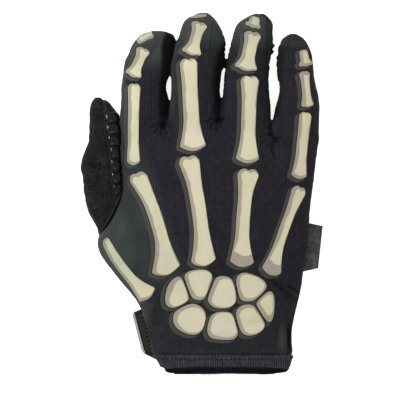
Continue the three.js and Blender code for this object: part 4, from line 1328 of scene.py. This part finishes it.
# %% [markdown]
# ## Stitches
# The hem is held by a row of stitches. Each is one short drop of thread, pressed into the
# cloth. A ray finds the cloth under it, so the row follows every fold.

# %% The hem's stitches
STITCH_Y, STITCH_PITCH, STITCH_SIZE = -105.3, 2.9, (0.85, 0.46, 0.34)


def drop_of_thread(mesh, place, axes, size, rounds):
    """A small rounded piece of thread with its own length, width and height along three axes."""
    turn, shape = Matrix(axes).transposed().to_4x4(), Matrix.Diagonal((*[part * MM for part in size], 1))
    place = Matrix.Translation(place) @ turn @ shape
    bmesh.ops.create_icosphere(mesh, subdivisions=rounds, radius=1, matrix=place)


def stitch_row(mesh, ground, places, from_above):
    """Short threads along a line of places, each turned towards the next."""
    start, way = (60, -1) if from_above else (-20, 1)
    hits = [ground.ray_cast(Vector((x, y, start)) * MM, Vector((0, 0, way))) for x, y in places]
    for (here, up, *_), (following, *_) in zip(hits, hits[1:]):
        if here is None or following is None or (here - following).length > 4 * MM:
            continue
        ahead = (following - here).normalized()
        aside = up.cross(ahead).normalized()
        drop_of_thread(mesh, here, (ahead, aside, aside.cross(ahead) * -1), STITCH_SIZE, 1)


hem_ground = BVHTree.FromObject(glove["cuff_hem"], bpy.context.evaluated_depsgraph_get())
threads = bmesh.new()
row = [(x, STITCH_Y) for x in np.arange(-34, 57, STITCH_PITCH)]
for from_above in (True, False):
    stitch_row(threads, hem_ground, row, from_above)
hem_thread = smooth_object(threads, "hem_thread")
print("thread faces:", len(hem_thread.data.polygons))

# %% [markdown]
# The raw edge inside the opening is overcast: a close row of thread wraps round it, and makes
# the lower edge finely toothed. The hem's rim is found as the open edge of its outer skin. Where
# it climbs the short side walls the thread is left out, since it would only be lumps there.

# %% The overcast edge
rim = bmesh.new()
rim.from_mesh(glove["cuff_hem"].data)
rim_points = np.array([vert.co for vert in rim.verts if vert.is_boundary]) / MM
rim.free()
rim_points = rim_points[rim_points[:, 1] < HEM_Y - 2]
# put in order round the opening, which is much wider than it is high
centre = rim_points.mean(0)
from_centre = rim_points - centre
rim_points = rim_points[np.argsort(np.arctan2(from_centre[:, 2], from_centre[:, 0] / 4))]
walked = np.append(0, np.cumsum(np.linalg.norm(np.diff(rim_points, axis=0), axis=1)))
# how close the threads stand, and how much the rim must face up or down to get one
OVERCAST_PITCH, LEAST_FACING = 1.45, 0.6
wraps = np.arange(0, walked[-1], OVERCAST_PITCH)
wraps = np.stack([np.interp(wraps, walked, rim_points[:, axis]) for axis in range(3)], 1)
overcast = bmesh.new()
for here in wraps:
    inwards = (Vector(centre - here) * Vector((0.3, 0, 1))).normalized()
    if abs(inwards.z) < LEAST_FACING:
        continue
    out = Vector((0, -1, 0))
    size = (0.42, 0.4 + 0.45 * abs(inwards.z), 1.2)
    drop_of_thread(overcast, (Vector(here) + 0.6 * inwards) * MM, (out.cross(inwards), out, inwards), size, 2)
rim_thread = smooth_object(overcast, "rim_thread")
print("overcast edge:", len(rim_thread.data.polygons), "faces of thread")

# %% [markdown]
# ## Rubber, webbing and tape
# Moulded rubber is black and has a soft gloss, and the tread is polished by use. Webbing and the
# label are woven: two waves cross, and each lies over the other in turn.

# %% Their finishes
def rubber(name, dark, pale, rough, gloss):
    finish = Finish(name, Specular_IOR_Level=gloss)
    dust, wear = finish.noise(1.3, 3), finish.noise(5, 2)
    finish.feed("Base Color", finish.mix(dust * 0.7 + wear * 0.3, colour(dark), colour(pale)))
    finish.feed("Roughness", wear * 0.2 + rough)
    finish.relief(wear, 0.1, 0.4)
    return finish.material


def woven(name, dark, pale, pitch, turn=0.0, mottled=0.0):
    finish = Finish(name, Specular_IOR_Level=0.15)
    turned = finish.node("ShaderNodeMapping", {}, {"Vector": finish.place(), "Rotation": (0, 0, turn)})
    axes = [finish.node("ShaderNodeSeparateXYZ", {}, [turned], axis) for axis in ("X", "Y")]
    warp, weft = [(axis * (2 * math.pi / (pitch * MM))).sine() for axis in axes]
    weave = warp * weft * 0.5 + 0.5
    cloud = finish.noise(3.2, 3)
    shade = weave * 0.5 + cloud * (0.7 + mottled) - (0.1 + mottled / 2)
    finish.feed("Base Color", finish.mix(shade, colour(dark), colour(pale)))
    finish.feed("Roughness", cloud * 0.15 + 0.75)
    finish.relief(weave + cloud * 0.4, 0.18, 0.8)
    return finish.material


tread_rubber = rubber("tread rubber", "030303", "100f0e", 0.05, 0.35)
black_binding = rubber("black binding", "080708", "151415", 0.45, 0.25)
tab_rubber = rubber("tab rubber", "0a0b09", "1f201d", 0.4, 0.4)
# a pale finish that paints the highlight on the tab's rim
rim_highlight = rubber("painted rim highlight", "85867f", "c6c6c0", 0.5, 0.4)
strap_webbing = woven("strap webbing", "131413", "2c2d2b", 1.4, STRAP_TURN)
label_weave = woven("label weave", "262a28", "575b57", 1.1, 0.1, 1.6)
thread = woven("black thread", "040305", "131115", 0.5)
print("materials:", len(bpy.data.materials))

# %% [markdown]
# ## Everything gets its finish
# A piece of cloth has two finishes: the outer one, and the lining for the wall's inner side
# and its cut edge. Then each piece is tied to the model's body and takes its node's place.

# %% Finishes and places
FINISHES = {
    "back_panel": (printed_knit, "back_knit"), "palm_panel": (palm_leather, "palm_leather"),
    "little_tip_cap": (cap_suede, "suede"), "ring_tip_cap": (cap_suede, "suede"),
    "thumb_back": (nap_suede, "suede"), "thumb_pad": (pad_leather, "palm_leather"),
    "closure_strap": (strap_webbing, "webbing"), "pull_tab": (tab_rubber, "tab_rubber"),
    "side_label": (label_weave, "label_tape"), "cuff_hem": (hem_knit, "back_knit"),
    **{name: (plain_knit, "back_knit") for name in STRIPS},
    **{f"thumb_tread_{number + 1}": (tread_rubber, "tread_rubber") for number in range(TREADS)},
}
for name, piece in glove.items():
    material, slot = FINISHES[name]
    piece.data.materials.append(material)
    # the pull tab's second finish is the painted highlight on its rim
    piece.data.materials.append(rim_highlight if name == "pull_tab" else lining)
    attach(piece, "root")
    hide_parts(name)
for piece, material in ((hem_thread, thread), (rim_thread, thread), (binding, black_binding)):
    piece.data.materials.append(material)
    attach(piece, "root")
print("dressed:", len(glove), "pieces")

# %% [markdown]
# ## Table, light and camera
# The table is plain white. A bright, even sky takes almost all shadow away. A large soft light
# from the upper left lights the fingers' left sides, where the knit's painted sheen makes them
# paler still, a smaller one beside it makes the rubber glint, and a weak one fills in from the
# other side. The camera hangs straight above, far away, as for a catalogue.

# %% The studio
floor_mesh = bmesh.new()
bmesh.ops.create_grid(floor_mesh, x_segments=1, y_segments=1, size=4)
bmesh.ops.translate(floor_mesh, verts=floor_mesh.verts, vec=(0, 0, -0.0002))
floor = as_object(floor_mesh, "table")
paper = Finish("white table", Roughness=0.9, Specular_IOR_Level=0.1)
paper.feed("Base Color", paper.mix(paper.noise(400, 2) * 0.5, (0.9, 0.9, 0.9, 1), (0.93, 0.93, 0.93, 1)))
paper.shader.inputs["Emission Color"].default_value = (1, 1, 1, 1)
paper.shader.inputs["Emission Strength"].default_value = 0.85
floor.data.materials.append(paper.material)

world = bpy.data.worlds.new("studio")
bpy.context.scene.world = world
world.use_nodes = True
sky = world.node_tree.nodes["Background"]
sky.inputs["Color"].default_value, sky.inputs["Strength"].default_value = (1, 1, 1, 1), 0.55


def soft_light(name, place, size, power):
    lamp = bpy.data.lights.new(name, "AREA")
    lamp.shape, lamp.size, lamp.energy = "DISK", size, power
    holder = bpy.data.objects.new(name, lamp)
    bpy.context.scene.collection.objects.link(holder)
    holder.location = place
    holder.rotation_euler = (-Vector(place)).to_track_quat("-Z", "Y").to_euler()


soft_light("window", (-0.75, 0.45, 0.65), 0.6, 4.4)
soft_light("fill", (0.5, -0.5, 1.1), 0.8, 2)
soft_light("sparkle", (-0.62, 0.5, 0.75), 0.24, 3.0)

CAMERA_HIGH, VIEW_WIDTH, GLOVE_HIGH, SENSOR = 1.3, 0.256, 0.01, 36
lens = bpy.data.cameras.new("portrait")
lens.sensor_width = SENSOR
lens.lens = SENSOR * (CAMERA_HIGH - GLOVE_HIGH) / VIEW_WIDTH
lens.clip_start, lens.clip_end = 0.05, 20
camera = bpy.data.objects.new("portrait", lens)
bpy.context.scene.collection.objects.link(camera)
camera.location = (-0.0014, -0.0041, CAMERA_HIGH)
bpy.context.scene.camera = camera
bpy.context.scene.view_settings.view_transform = "Standard"
